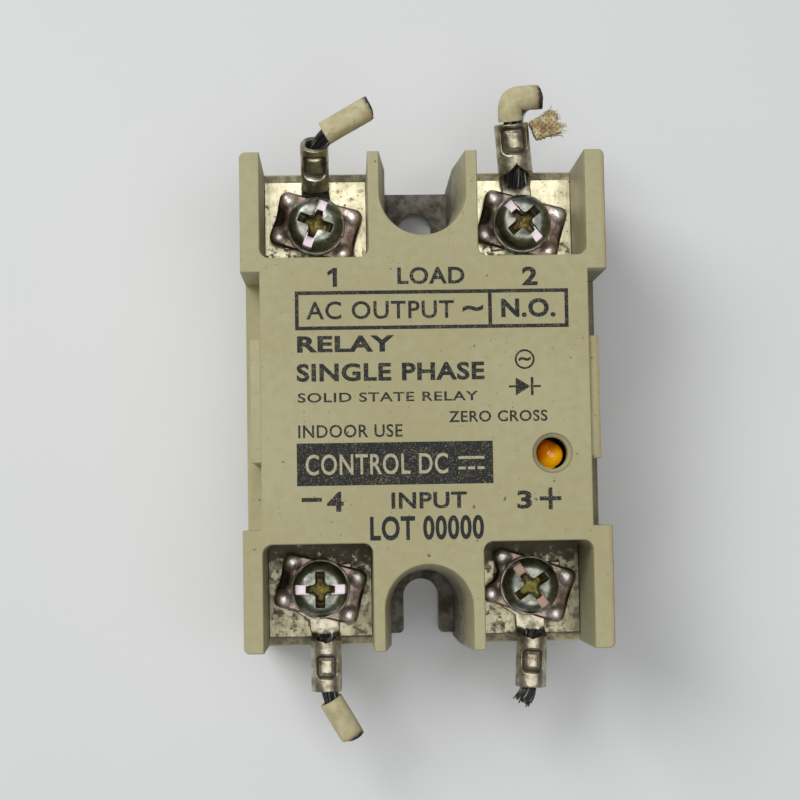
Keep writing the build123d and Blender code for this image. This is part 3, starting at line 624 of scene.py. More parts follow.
@dataclass(frozen=True)
class Mottled(Finish):
    """A plain material with a little cloud, grain and dirt: most inner pieces."""

    light: Colour = (0.5, 0.5, 0.5)
    dark: Colour = (0.4, 0.4, 0.4)
    metal: float = 0.0
    rough: float = 0.5
    scale: float = 0.5
    relief: float = 0.01
    dirt: float = 0.3

    def nodes(self, p: Paint) -> bpy.types.Material:
        """Paint it."""
        cloud = p.noise(self.scale, 4.0)
        colour = p.mix(cloud.step(0.35, 0.65), self.light, self.dark)
        shade = tuple(part * 0.3 for part in self.dark)
        colour = p.mix(p.specks(self.scale * 3, 0.18, 0.3) * self.dirt, colour, shade)
        rough = self.rough + (cloud - 0.5) * 0.2
        return p.finish(colour, rough, self.metal, p.noise(self.scale * 8, 3.0), self.relief)


@dataclass(frozen=True)
class BoardLaminate(Finish):
    """Circuit board: green resist over a grid of copper tracks, with tinned rings."""

    resist: Colour = (0.030, 0.110, 0.045)
    track: Colour = (0.055, 0.200, 0.080)
    edge: Colour = (0.42, 0.36, 0.20)

    def nodes(self, p: Paint) -> bpy.types.Material:
        """Paint it."""
        settings = {"feature": "F1", "distance": "CHEBYCHEV"}
        cell = p.node("ShaderNodeTexVoronoi", settings, {"Vector": p.place, "Scale": 0.28}, "Distance")
        lines = cell.step(0.30, 0.34) * cell.step(0.50, 0.46)
        colour = p.mix(lines, self.resist, self.track)
        side = (abs(p.x).step(16.82, 16.88)) | (abs(p.y).step(14.32, 14.38))
        colour = p.mix(side, colour, self.edge)
        return p.finish(colour, 0.35 + p.noise(1.0, 3.0) * 0.15, height=lines, relief=0.03)


@dataclass(frozen=True)
class BandedLacquer(Finish):
    """Lacquered resistor body with colour bands across it."""

    body: Colour = (0.62, 0.50, 0.34)
    centre: float = 0.0
    pitch: float = 0.9

    def nodes(self, p: Paint) -> bpy.types.Material:
        """Paint it."""
        along = p.x - self.centre
        colour = p.mix(p.noise(0.9, 3.0).step(0.35, 0.65), self.body, (0.50, 0.38, 0.24))
        bands = ((0.28, 0.07, 0.03), (0.03, 0.03, 0.03), (0.45, 0.16, 0.02), (0.60, 0.45, 0.12))
        for place, band in enumerate(bands):
            middle = (place - 1.5) * self.pitch
            mask = abs(along - middle).step(self.pitch * 0.26, self.pitch * 0.20)
            colour = p.mix(mask, colour, band)
        return p.finish(colour, 0.30 + p.noise(1.3, 2.0) * 0.1, height=p.noise(3.0, 2.0), relief=0.01)


FINISHES: dict[str, Finish] = {
    "case": CasePlastic("case_plastic", "case_plastic"),
    "base": CastPlate("base_metal", "base_metal"),
    "contact_clean": ContactPlating("contact_clean", "terminal_brass", dirtiness=0.28),
    "contact_dirty": ContactPlating(
        "contact_dirty", "terminal_brass", (0.35, 0.33, 0.22), (0.22, 0.20, 0.13), dirtiness=0.42),
    "screw": ScrewPlating("screw_plating", "screw_steel"),
    "washer": TarnishedPlating("washer_plating", "washer_steel"),
    "spring": Mottled("spring_plating", "spring_steel", (0.34, 0.33, 0.27), (0.13, 0.12, 0.09),
                      1.0, 0.34, 0.8),
    "nut": Mottled("nut_zinc", "nut_steel", (0.62, 0.62, 0.60), (0.46, 0.45, 0.40), 1.0, 0.35),
    "lug": TinnedLug("lug_tin", "lug_tinned"),
    "strand": BlackenedWire("blackened_wire", "strand_copper"),
    "fray": FrayedCloth("frayed_braid", "sleeve_frayed"),
    "ink": WornInk("worn_ink", "case_plastic"),
    "stamp": WornInk("stamp_ink", "case_plastic", (0.015, 0.016, 0.020), wear=0.0),
    "pale_print": Mottled("pale_print", "case_plastic", (0.47, 0.44, 0.28), (0.36, 0.33, 0.20),
                          0.0, 0.5, 2.5),
    "amber": AmberEpoxy("amber_epoxy", "led_amber"),
    "lead": Mottled("tinned_lead", "lead_wire", (0.72, 0.71, 0.68), (0.55, 0.54, 0.50), 1.0, 0.3, 1.0),
    "gel": Mottled("sealing_gel", "sealing_gel", (0.56, 0.55, 0.48), (0.46, 0.45, 0.38), 0.0, 0.22, 0.2),
    "ceramic": Mottled("fired_ceramic", "substrate_ceramic", (0.86, 0.85, 0.82),
                       (0.78, 0.77, 0.73), 0.0, 0.5, 0.4, dirt=0.1),
    "silicon": Mottled("chip_silicon", "chip_silicon", (0.40, 0.41, 0.46), (0.30, 0.31, 0.36),
                       1.0, 0.18, 0.5, dirt=0.1),
    "copper": Mottled("bus_copper", "bus_copper", (0.78, 0.42, 0.28), (0.52, 0.27, 0.17), 1.0, 0.35, 0.6),
    "board": BoardLaminate("board_laminate", "board_laminate"),
    "package": Mottled("package_black", "package_black", (0.045, 0.045, 0.048),
                       (0.028, 0.028, 0.030), 0.0, 0.45, 1.0, 0.02),
    "film_box": Mottled("capacitor_box", "capacitor_box", (0.60, 0.44, 0.08), (0.52, 0.37, 0.06),
                        0.0, 0.28, 0.3),
    "dipped": Mottled("varistor_coating", "varistor_coating", (0.06, 0.18, 0.42),
                      (0.04, 0.13, 0.32), 0.0, 0.25, 0.7, 0.03),
}


# ------------------------------------------------------------------ mesh tools

def blend(value: float, low: float, high: float) -> float:
    """Smooth step of a value between two limits, from 0 to 1."""
    part = min(1.0, max(0.0, (value - low) / (high - low)))
    return part * part * (3 - 2 * part)


def recalculated(mesh: bpy.types.Mesh, merge: float = 1e-7) -> bpy.types.Mesh:
    """Merge a mesh's doubles and point its faces outwards.

    Args:
        mesh: The mesh, changed in place.
        merge: Merge distance in metres.

    Returns:
        The same mesh.
    """
    bm = bmesh.new()
    bm.from_mesh(mesh)
    bmesh.ops.remove_doubles(bm, verts=bm.verts, dist=merge)
    bmesh.ops.recalc_face_normals(bm, faces=bm.faces)
    bm.to_mesh(mesh)
    bm.free()
    return mesh


def smooth(mesh: bpy.types.Mesh, angle: float = 35.0) -> bpy.types.Mesh:
    """Shade a mesh smooth, with sharp edges over an angle in degrees."""
    mesh.shade_smooth()
    mesh.set_sharp_from_angle(angle=math.radians(angle))
    return mesh


def evaluated(host: bpy.types.Object) -> bpy.types.Mesh:
    """Apply an object's modifiers.

    Args:
        host: The object; it is removed.

    Returns:
        The result, as a plain mesh.
    """
    bpy.context.view_layer.update()
    graph = bpy.context.evaluated_depsgraph_get()
    mesh = bpy.data.meshes.new_from_object(host.evaluated_get(graph))
    bpy.data.objects.remove(host)
    return mesh


def host_of(mesh: bpy.types.Mesh) -> bpy.types.Object:
    """Put a mesh in a scratch object."""
    host = bpy.data.objects.new("scratch", mesh)
    bpy.context.scene.collection.objects.link(host)
    return host


def with_modifiers(mesh: bpy.types.Mesh, *steps: tuple[str, dict[str, Any]]) -> bpy.types.Mesh:
    """Run a mesh through modifiers.

    Args:
        mesh: The mesh to start from.
        steps: Each modifier's type and settings, in order.

    Returns:
        The finished mesh.
    """
    host = host_of(mesh)
    for kind, settings in steps:
        modifier = host.modifiers.new(kind.lower(), kind)
        for key, value in settings.items():
            setattr(modifier, key, value)
    return evaluated(host)


def bevelled(mesh: bpy.types.Mesh, width: float, segments: int = 2, angle: float = 30.0) -> bpy.types.Mesh:
    """Round a mesh's edges.

    Args:
        mesh: The mesh.
        width: Width of the rounding, in millimetres.
        segments: Faces across it.
        angle: Edges sharper than this many degrees are rounded.

    Returns:
        The rounded mesh.
    """
    settings = {"width": width * MM, "segments": segments, "limit_method": "ANGLE",
                "angle_limit": math.radians(angle), "use_clamp_overlap": True, "harden_normals": False}
    return with_modifiers(mesh, ("BEVEL", settings))


def from_rings(name: str, rings: Sequence[Sequence[Vector]], closed: bool = False) -> bpy.types.Mesh:
    """Skin a row of rings, all with the same number of points, in millimetres.

    Args:
        name: The mesh's name.
        rings: The rings, in order.
        closed: Whether the last ring joins the first.

    Returns:
        The mesh, in metres.
    """
    bm = bmesh.new()
    rows = [[bm.verts.new(point * MM) for point in ring] for ring in rings]
    pairs = list(zip(rows, rows[1:])) + ([(rows[-1], rows[0])] if closed else [])
    for low, high in pairs:
        for i in range(len(low)):
            j = (i + 1) % len(low)
            bm.faces.new((low[i], low[j], high[j], high[i]))
    if not closed:
        bm.faces.new(list(reversed(rows[0])))
        bm.faces.new(rows[-1])
    mesh = bpy.data.meshes.new(name)
    bm.to_mesh(mesh)
    bm.free()
    return recalculated(mesh)


def joined(name: str, meshes: Iterable[bpy.types.Mesh]) -> bpy.types.Mesh:
    """Put several meshes in one; materials and attributes of the parts are kept by index."""
    bm = bmesh.new()
    for mesh in meshes:
        bm.from_mesh(mesh)
    whole = bpy.data.meshes.new(name)
    bm.to_mesh(whole)
    bm.free()
    return whole


def lathe(name: str, profile: Sequence[tuple[float, float]], sides: int = 64) -> bpy.types.Mesh:
    """Turn a profile of (radius, height) about Z; it runs from axis to axis."""
    rings = []
    for radius, height in profile:
        rings.append([Vector((radius * math.cos(TAU * i / sides), radius * math.sin(TAU * i / sides), height))
                      for i in range(sides)])
    return from_rings(name, rings)


def normals_of(mesh: bpy.types.Mesh) -> list[Vector]:
    """Every point's normal, read at once before any point moves."""
    return [vertex.normal.copy() for vertex in mesh.vertices]


def set_attribute(mesh: bpy.types.Mesh, name: str, values: Iterable[float]) -> None:
    """Store a number on each point of a mesh."""
    found = mesh.attributes.get(name) or mesh.attributes.new(name, "FLOAT", "POINT")
    found.data.foreach_set("value", list(values))


def placed(name: str, mesh: bpy.types.Mesh, finish: Finish, body: str,
           *replaced: str) -> bpy.types.Object:
    """Make a finished piece of a mesh.

    Args:
        name: The piece's name.
        mesh: Its mesh, in the frame's place.
        finish: Its finish.
        body: The CAD body that it moves with.
        replaced: CAD nodes that it stands for.

    Returns:
        The piece.
    """
    piece = bpy.data.objects.new(name, mesh)
    bpy.context.scene.collection.objects.link(piece)
    mesh.name = name
    mesh.materials.clear()
    mesh.materials.append(finish.paint())
    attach(piece, body)
    if replaced:
        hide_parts(*replaced)
    LOG.info("%s: %d faces on %s", name, len(mesh.polygons), body)
    return piece


def dress(node: str, finish: Finish) -> None:
    """Give a CAD node that stays its finish."""
    mesh = frame["nodes"][node].data
    mesh.materials.clear()
    mesh.materials.append(finish.paint())
    LOG.info("%s: kept, in %s", node, finish.name)


def cad_copy(node: str) -> bpy.types.Mesh:
    """Copy a CAD node's mesh, with its doubles merged and its flat faces whole."""
    mesh = frame["nodes"][node].data.copy()
    for name in ("custom_normal", "sharp_edge", "sharp_face"):
        if name in mesh.attributes:
            mesh.attributes.remove(mesh.attributes[name])
    bm = bmesh.new()
    bm.from_mesh(mesh)
    bmesh.ops.remove_doubles(bm, verts=bm.verts, dist=1e-6)
    bmesh.ops.dissolve_limit(bm, angle_limit=math.radians(1), verts=bm.verts, edges=bm.edges)
    bmesh.ops.recalc_face_normals(bm, faces=bm.faces)
    bm.to_mesh(mesh)
    bm.free()
    return mesh


def prism(name: str, outline: Sequence[Sequence[float]], low: float, high: float) -> bpy.types.Mesh:
    """Raise a closed outline between two heights, in millimetres."""
    return from_rings(name, [[Vector((x, y, z)) for x, y in outline] for z in (low, high)])


def shifted(mesh: bpy.types.Mesh, place: Matrix) -> bpy.types.Mesh:
    """Move a mesh by a place whose shift is in millimetres."""
    scaled = place.copy()
    scaled.translation *= MM
    mesh.transform(scaled)
    return mesh


# ------------------------------------------------------------------ geometry node trees

class GeometryTree(Graph):
    """A Geometry Nodes tree with named inputs that ends in plain geometry with its material."""

    SOCKETS = {float: "NodeSocketFloat", int: "NodeSocketInt"}

    def __init__(self, name: str, sizes: Mapping[str, float | int]) -> None:
        """Start a tree.

        Args:
            name: The tree's name.
            sizes: Its number inputs, with their defaults.
        """
        super().__init__(bpy.data.node_groups.new(name, "GeometryNodeTree"))
        face = self.tree.interface
        face.new_socket("Geometry", in_out="OUTPUT", socket_type="NodeSocketGeometry")
        face.new_socket("Geometry", in_out="INPUT", socket_type="NodeSocketGeometry")
        self.keys: dict[str, str] = {}
        for label, value in sizes.items():
            made = face.new_socket(label, in_out="INPUT", socket_type=self.SOCKETS[type(value)])
            made.default_value = value
            self.keys[label] = made.identifier
        self.keys["Finish"] = face.new_socket(
            "Finish", in_out="INPUT", socket_type="NodeSocketMaterial").identifier
        self.entry = self.tree.nodes.new("NodeGroupInput")

    def size(self, label: str) -> Sock:
        """One of the tree's inputs."""
        return Sock(self, self.entry.outputs[label])

    def close(self, geometry: Sock) -> None:
        """End the tree: instances made real, and the material set."""
        real = self.node("GeometryNodeRealizeInstances", inputs={"Geometry": geometry})
        inputs = {"Geometry": real, "Material": self.size("Finish")}
        self.node("NodeGroupOutput", inputs={"Geometry": self.node("GeometryNodeSetMaterial", inputs=inputs)})

    def grow(self, finish: Finish, guide: bpy.types.Mesh | None = None, **sizes: Any) -> bpy.types.Mesh:
        """Run the tree once.

        Args:
            finish: The finish of what it makes.
            guide: The mesh that it starts from, if any.
            sizes: Its inputs, with underscores for spaces.

        Returns:
            A plain mesh.
        """
        host = host_of(guide or bpy.data.meshes.new("start"))
        modifier = host.modifiers.new("grow", "NODES")
        modifier.node_group = self.tree
        modifier[self.keys["Finish"]] = finish.paint()
        for label, value in sizes.items():
            modifier[self.keys[label.replace("_", " ")]] = value
        return evaluated(host)


class StrandTree(GeometryTree):
    """Fine strands beside each other along a guide line, twisted, fanned at both ends and cut unevenly."""

    GOLDEN = 2.39996

    def __init__(self) -> None:
        """Build the tree."""
        super().__init__("strand_bundle", {
            "Count": 40, "Steps": 24, "Bundle": 1.0 * MM, "Strand": 0.1 * MM, "Twist": 1.0,
            "Start Fan": 0.0, "End Fan": 0.0, "Loose": 0.1 * MM, "Uneven": 0.1, "Seed": 1})
        line = self.node("GeometryNodeMeshToCurve", inputs={"Mesh": self.size("Geometry")})
        line = self.node("GeometryNodeResampleCurve", inputs={"Curve": line, "Count": self.size("Steps")})
        copies = self.node("GeometryNodeDuplicateElements", {"domain": "SPLINE"},
                           {"Geometry": line, "Amount": self.size("Count")}, "Geometry")
        index = copies.also("Duplicate Index")
        along = self.node("GeometryNodeSplineParameter", out="Factor")
        turn = index * self.GOLDEN + along * self.size("Twist")
        share = ((index + 0.5) / self.size("Count")).math("SQRT", (index + 0.5) / self.size("Count"))
        fan = 1 + self.size("End Fan") * along.step(0.72, 1.0) + self.size("Start Fan") * along.step(0.3, 0.0)
        reach = self.size("Bundle") * share * fan
        normal = self.node("GeometryNodeInputNormal")
        across = self.vector("CROSS_PRODUCT", self.node("GeometryNodeInputTangent"), normal)
        offset = self.vector(
            "ADD", self.vector("SCALE", normal, Scale=reach * turn.math("COSINE", turn)),
            self.vector("SCALE", across, Scale=reach * turn.math("SINE", turn)))
        stray = self.chance(index, (-1.0, -1.0, -1.0), (1.0, 1.0, 1.0), "FLOAT_VECTOR", 0)
        ends = along.step(0.6, 1.0) | along.step(0.22, 0.0)
        offset = self.vector("ADD", offset, self.vector("SCALE", stray, Scale=ends * self.size("Loose")))
        moved = self.node("GeometryNodeSetPosition", inputs={"Geometry": copies, "Offset": offset})
        short = self.size("Uneven")
        cut = self.node("GeometryNodeTrimCurve", {"mode": "FACTOR"}, {
            "Curve": moved, "Start": short * self.chance(index, 0.0, 1.0, "FLOAT", 1),
            "End": 1 - short * self.chance(index, 0.0, 1.0, "FLOAT", 2)})
        stored = self.node("GeometryNodeStoreNamedAttribute", {"data_type": "FLOAT", "domain": "POINT"}, {
            "Geometry": cut, "Name": "strand_tint", "Value": self.chance(index, 0.0, 1.0, "FLOAT", 3)})
        section = self.node("GeometryNodeCurvePrimitiveCircle", inputs={
            "Resolution": 6, "Radius": self.size("Strand")}, out="Curve")
        self.close(self.node("GeometryNodeCurveToMesh", inputs={
            "Curve": stored, "Profile Curve": section, "Fill Caps": True}))

    def chance(self, index: Sock, low: Any, high: Any, kind: str, shift: int) -> Sock:
        """A random value for each strand."""
        return self.node("FunctionNodeRandomValue", {"data_type": kind}, {
            "Min": low, "Max": high, "ID": index, "Seed": self.size("Seed") + shift})


class SplitRingTree(GeometryTree):
    """A square-section ring that is cut through and sprung a little apart."""

    def __init__(self) -> None:
        """Build the tree."""
        super().__init__("split_ring", {
            "Radius": 2.9 * MM, "Width": 1.4 * MM, "Height": 0.9 * MM, "Rise": 0.1 * MM, "Gap": 0.02})
        ring = self.node("GeometryNodeCurveSpiral", inputs={
            "Resolution": 96, "Rotations": 1 - self.size("Gap"), "Start Radius": self.size("Radius"),
            "End Radius": self.size("Radius"), "Height": self.size("Rise")})
        upright = self.node("GeometryNodeSetCurveNormal", {"mode": "Z_UP"}, {"Curve": ring})
        section = self.node("GeometryNodeCurvePrimitiveQuadrilateral", inputs={
            "Width": self.size("Width"), "Height": self.size("Height")})
        self.close(self.node("GeometryNodeCurveToMesh", inputs={
            "Curve": upright, "Profile Curve": section, "Fill Caps": True}))


class ThreadTree(GeometryTree):
    """The raised helix of a screw thread."""

    def __init__(self) -> None:
        """Build the tree."""
        super().__init__("screw_thread", {
            "Core": 1.7 * MM, "Ridge": 0.3 * MM, "Pitch": 0.7 * MM, "Turns": 10.0})
        helix = self.node("GeometryNodeCurveSpiral", inputs={
            "Resolution": 28, "Rotations": self.size("Turns"), "Start Radius": self.size("Core"),
            "End Radius": self.size("Core"), "Height": self.size("Turns") * self.size("Pitch")})
        upright = self.node("GeometryNodeSetCurveNormal", {"mode": "Z_UP"}, {"Curve": helix})
        section = self.node("GeometryNodeCurvePrimitiveCircle", inputs={
            "Resolution": 4, "Radius": self.size("Ridge")}, out="Curve")
        self.close(self.node("GeometryNodeCurveToMesh", inputs={
            "Curve": upright, "Profile Curve": section, "Fill Caps": True}))


# ------------------------------------------------------------------ the terminals' places

JOINTS = {joint["name"]: joint for joint in frame["joints"]}
PLATE_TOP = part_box("terminal_plate_1")[1].z / MM


@dataclass(frozen=True)
class Spot:
    """One terminal, and how its loose pieces happen to lie; turns are degrees about Z."""

    number: int
    end: int
    washer_turn: float
    slot_turn: float
    barrel_lean: float
    barrel_tilt: float
    barrel_start: float
    barrel_radius: float
    barrel_length: float = 6.0

    @property
    def screw(self) -> Vector:
        """The screw's axis on the contact plate."""
        x, y, _ = JOINTS[f"screw_{self.number}_turn"]["pos_m"]
        return Vector((x / MM, y / MM, PLATE_TOP))

    @property
    def tongue(self) -> Matrix:
        """The lug's own place: its Y runs out of the relay."""
        y = Vector(JOINTS[f"lug_{self.number}_pull"]["axis"]).normalized()
        z = Vector((0, 0, 1))
        turn = Matrix((y.cross(z), y, z)).transposed().to_4x4()
        return Matrix.Translation(self.screw) @ turn

    @property
    def axes(self) -> tuple[Vector, Vector, Vector]:
        """The barrel's across, along and up directions in the lug's own place."""
        lean, tilt = math.radians(self.barrel_lean), math.radians(self.barrel_tilt)
        level = Vector((-math.sin(lean), math.cos(lean), 0))
        along = level * math.cos(tilt) + Vector((0, 0, math.sin(tilt)))
        across = Vector((math.cos(lean), math.sin(lean), 0))
        return across, along, across.cross(along)

    @property
    def base(self) -> Vector:
        """Centre of the barrel's inner end, in the lug's own place."""
        return Vector((0, self.barrel_start, self.barrel_radius + 0.05))

    @property
    def direction(self) -> Vector:
        """The way the barrel points, in the frame."""
        return (self.tongue.to_3x3() @ self.axes[1]).normalized()

    def on_axis(self, distance: float) -> Vector:
        """A point on the barrel's axis, so far out from its inner end, in the frame."""
        return self.tongue @ (self.base + self.axes[1] * distance)


SPOTS = {
    1: Spot(1, 1, -15.6, 69, 0.0, 45, 5.1, 1.72),
    2: Spot(2, 1, -15.2, 130, 0.0, 14, 6.4, 2.1),
    3: Spot(3, -1, -18.0, 125, -4.6, 0, 6.2, 1.85),
    4: Spot(4, -1, -14.5, 0, -5.5, 0, 6.3, 1.85),
}


# ------------------------------------------------------------------ housing and print

@dataclass
class Housing:
    """The moulded case and the metal plate under it."""

    edge: float = 0.10
    ink_room: float = 0.03

    @property
    def top(self) -> float:
        """Height of the label face; the ink fills the rest up to the case's full height."""
        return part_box("case")[1].z / MM - self.ink_room

    def build(self) -> None:
        """Build the case and dress the base plate."""
        mesh = bevelled(cad_copy("case"), self.edge, 2, 40)
        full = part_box("case")[1].z
        for vertex in mesh.vertices:
            vertex.co.z = min(vertex.co.z, full - self.ink_room * MM)
        placed("case_shell", smooth(recalculated(mesh, 1e-6), 30), FINISHES["case"], "relay_body", "case")
        dress("base_plate", FINISHES["base"])


@dataclass(frozen=True)
class Label:
    """A line of generic lettering, drawn out to fill its box."""

    text: str
    left: float
    right: float
    low: float
    high: float
    weight: float = 0.05

    def mesh(self, bottom: float, top: float) -> bpy.types.Mesh:
        """Make its letters between two heights."""
        curve = bpy.data.curves.new("lettering", "FONT")
        curve.body = self.text
        curve.size = (self.high - self.low) * MM
        curve.offset = self.weight * MM
        curve.space_character = 1.08
        curve.extrude = 0.01 * MM
        curve.resolution_u = 4
        mesh = evaluated(host_of(curve))
        xs = [v.co.x for v in mesh.vertices]
        ys = [v.co.y for v in mesh.vertices]
        wide = (self.right - self.left) * MM / (max(xs) - min(xs))
        tall = (self.high - self.low) * MM / (max(ys) - min(ys))
        left, low = min(xs), min(ys)
        for v in mesh.vertices:
            height = top if v.co.z > 0 else bottom
            v.co = (self.left * MM + (v.co.x - left) * wide,
                    self.low * MM + (v.co.y - low) * tall, height * MM)
        return mesh


def bar(start: tuple[float, float], end: tuple[float, float], width: float,
        bottom: float, top: float) -> bpy.types.Mesh:
    """A straight printed line."""
    a, b = Vector(start), Vector(end)
    side = (b - a).normalized().orthogonal() * width / 2
    return prism("bar", [a - side, b - side, b + side, a + side], bottom, top)


def hoop(x: float, y: float, radius: float, width: float, bottom: float, top: float) -> bpy.types.Mesh:
    """A printed circle."""
    rings = []
    for i in range(40):
        turn = Vector((math.cos(TAU * i / 40), math.sin(TAU * i / 40), 0))
        rings.append([Vector((x, y, z)) + turn * r for r, z in (
            (radius - width, bottom), (radius, bottom), (radius, top), (radius - width, top))])
    return from_rings("hoop", rings, closed=True)


@dataclass
class Legend:
    """The printing on the label face; every word on it is generic."""

    base: float
    line: float = 0.42
    sunk: float = 0.03
    labels: tuple[Label, ...] = (
        Label("LOAD", -3.1, 4.7, 13.3, 15.3, 0.05),
        Label("2", 11.4, 13.2, 13.0, 15.2, 0.07),
        Label("AC OUTPUT", -13.7, 3.4, 9.3, 11.4, 0.03),
        Label("~", 4.4, 6.8, 10.0, 10.8, 0.03),
        Label("N.O.", 8.9, 15.2, 9.3, 11.5, 0.08),
        Label("RELAY", -14.8, -3.6, 5.5, 7.4, 0.07),
        Label("SINGLE PHASE", -14.9, 6.8, 2.1, 4.2, 0.07),
        Label("SOLID STATE RELAY", -14.8, 6.0, -0.3, 0.8, 0.015),
        Label("ZERO CROSS", 2.6, 14.0, -2.8, -1.5, 0.02),
        Label("INDOOR USE", -14.8, -2.8, -4.4, -2.9, 0.02),
        Label("4", -11.6, -9.7, -12.9, -10.6, 0.07),
        Label("INPUT", -4.2, 4.5, -12.7, -10.8, 0.05),
        Label("3", 10.3, 12.0, -12.9, -10.8, 0.07),
    )

    def ruled_box(self, low: float, high: float) -> list[bpy.types.Mesh]:
        """The ruled box round the output words, with its divider."""
        left, right, down, up, split, half = -14.8, 16.5, 8.3, 12.4, 7.6, self.line / 2
        rings = []
        for x, y, way_x, way_y in ((left, down, -1, -1), (right, down, 1, -1), (right, up, 1, 1),
                                   (left, up, -1, 1)):
            rings.append([Vector((x + way_x * reach, y + way_y * reach, z)) for reach, z in (
                (-half, low), (half, low), (half, high), (-half, high))])
        divider = bar((split, down + half), (split, up - half), self.line, low, high)
        return [from_rings("rule", rings, closed=True), divider]

    def signs(self, low: float, high: float) -> list[bpy.types.Mesh]:
        """The figure one, the polarity signs and the two symbols."""
        one = [(-10.6, 13.1), (-10.1, 13.1), (-10.1, 15.3), (-10.5, 15.3), (-11.2, 14.85),
               (-11.2, 14.4), (-10.6, 14.75)]
        plus = [(12.9, -11.98), (13.92, -11.98), (13.92, -13.0), (14.38, -13.0), (14.38, -11.98),
                (15.4, -11.98), (15.4, -11.52), (14.38, -11.52), (14.38, -10.5), (13.92, -10.5),
                (13.92, -11.52), (12.9, -11.52)]
        return [prism("one", one, low, high), prism("plus", plus, low, high),
                bar((-14.5, -11.5), (-12.2, -11.5), 0.46, low, high),
                hoop(11.5, 4.4, 1.15, 0.22, low, high),
                Label("~", 10.8, 12.2, 4.15, 4.7, 0.02).mesh(low, high),
                prism("triangle", [(10.4, 0.2), (12.1, 1.25), (10.4, 2.3)], low, high),
                bar((12.3, 0.2), (12.3, 2.3), 0.3, low, high),
                bar((9.6, 1.25), (10.38, 1.25), 0.24, low, high),
                bar((12.47, 1.25), (13.3, 1.25), 0.24, low, high)]

    def build(self) -> None:
        """Build the black print, the reversed box with its pale words, and the date stamp."""
        low, high = self.base - self.sunk, self.base + self.sunk
        parts = [label.mesh(low, high) for label in self.labels]
        parts += self.ruled_box(low, high) + self.signs(low, high)
        parts.append(prism("panel", [(-15.0, -9.9), (7.6, -9.9), (7.6, -5.0), (-15.0, -5.0)],
                           low, high - 0.01))
        placed("label_print", joined("label_print", parts), FINISHES["ink"], "relay_body")
        pale = [Label("CONTROL DC", -14.0, 2.4, -8.7, -6.3, 0.03).mesh(low, high),
                bar((3.6, -6.9), (6.6, -6.9), 0.32, low, high)]
        pale += [bar((3.6 + 1.1 * i, -8.1), (4.4 + 1.1 * i, -8.1), 0.32, low, high) for i in range(3)]
        placed("control_print", joined("control_print", pale), FINISHES["pale_print"], "relay_body")
        stamp = Label("LOT 00000", -6.7, 6.4, -16.3, -13.5, 0.08).mesh(low, high)
        placed("lot_stamp", stamp, FINISHES["stamp"], "relay_body")


# ------------------------------------------------------------------ terminal hardware

@dataclass
class Screw:
    """A pan-head terminal screw with a slot across a rounded cross recess."""

    spot: Spot
    tree: ThreadTree
    browned: bool = False
    edge: float = 0.13
    head_radius: float = 3.35
    head_height: float = 2.55
    head_round: float = 1.5
    core_radius: float = 1.62
    thread_depth: float = 0.34
    pitch: float = 0.7

    def in_recess(self, centre: Vector, seat: float) -> bool:
        """Tell whether a face's centre lies below the round surface of a head seated at a height."""
        away = math.hypot(centre.x - self.spot.screw.x, centre.y - self.spot.screw.y)
        over = max(0.0, away - (self.head_radius - self.head_round))
        if centre.z < seat or over > self.head_round - 0.02:
            return False
        surface = seat + self.head_height - self.head_round + math.sqrt(self.head_round**2 - over**2)
        return centre.z < surface - 0.07

    def build(self) -> None:
        """Build the screw: bevelled head, cut core and thread."""
        node = f"terminal_screw_{self.spot.number}"
        mesh = bevelled(cad_copy(node), self.edge, 2, 50)
        low, high = (corner.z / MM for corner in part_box(node))
        seat = high - self.head_height
        axis = Vector((self.spot.screw.x, self.spot.screw.y)) * MM
        for vertex in mesh.vertices:
            if vertex.co.z < (seat - 0.3) * MM:
                plan = vertex.co.xy - axis
                vertex.co.xy = axis + plan * min(1.0, self.core_radius * MM / max(plan.length, 1e-9))
        marks = [float(self.in_recess(face.center / MM, seat)) for face in mesh.polygons]
        smooth(mesh, 32)
        turns = (seat - low - 1.2) / self.pitch
        thread = self.tree.grow(FINISHES["screw"], Core=self.core_radius * MM, Turns=turns,
                                Ridge=self.thread_depth * MM, Pitch=self.pitch * MM)
        shifted(thread, Matrix.Translation((self.spot.screw.x, self.spot.screw.y, low + 0.5)))
        marks += [0.0] * len(thread.polygons)
        whole = joined(node, [mesh, thread])
        found = whole.attributes.new("recess", "FLOAT", "FACE")
        found.data.foreach_set("value", marks)
        finish = replace(FINISHES["screw"], name=node, axis=tuple(self.spot.screw))
        # screw 3: a browner painted reflection on its slot floors, and paler olive grime and shade in its cross
        if self.browned:
            finish = replace(finish, slot_floor_sheen=(0.25, 0.165, 0.125), grime=(0.30, 0.27, 0.06))
        placed(f"screw_{self.spot.number}", smooth(whole, 32), finish, f"screw_{self.spot.number}", node)


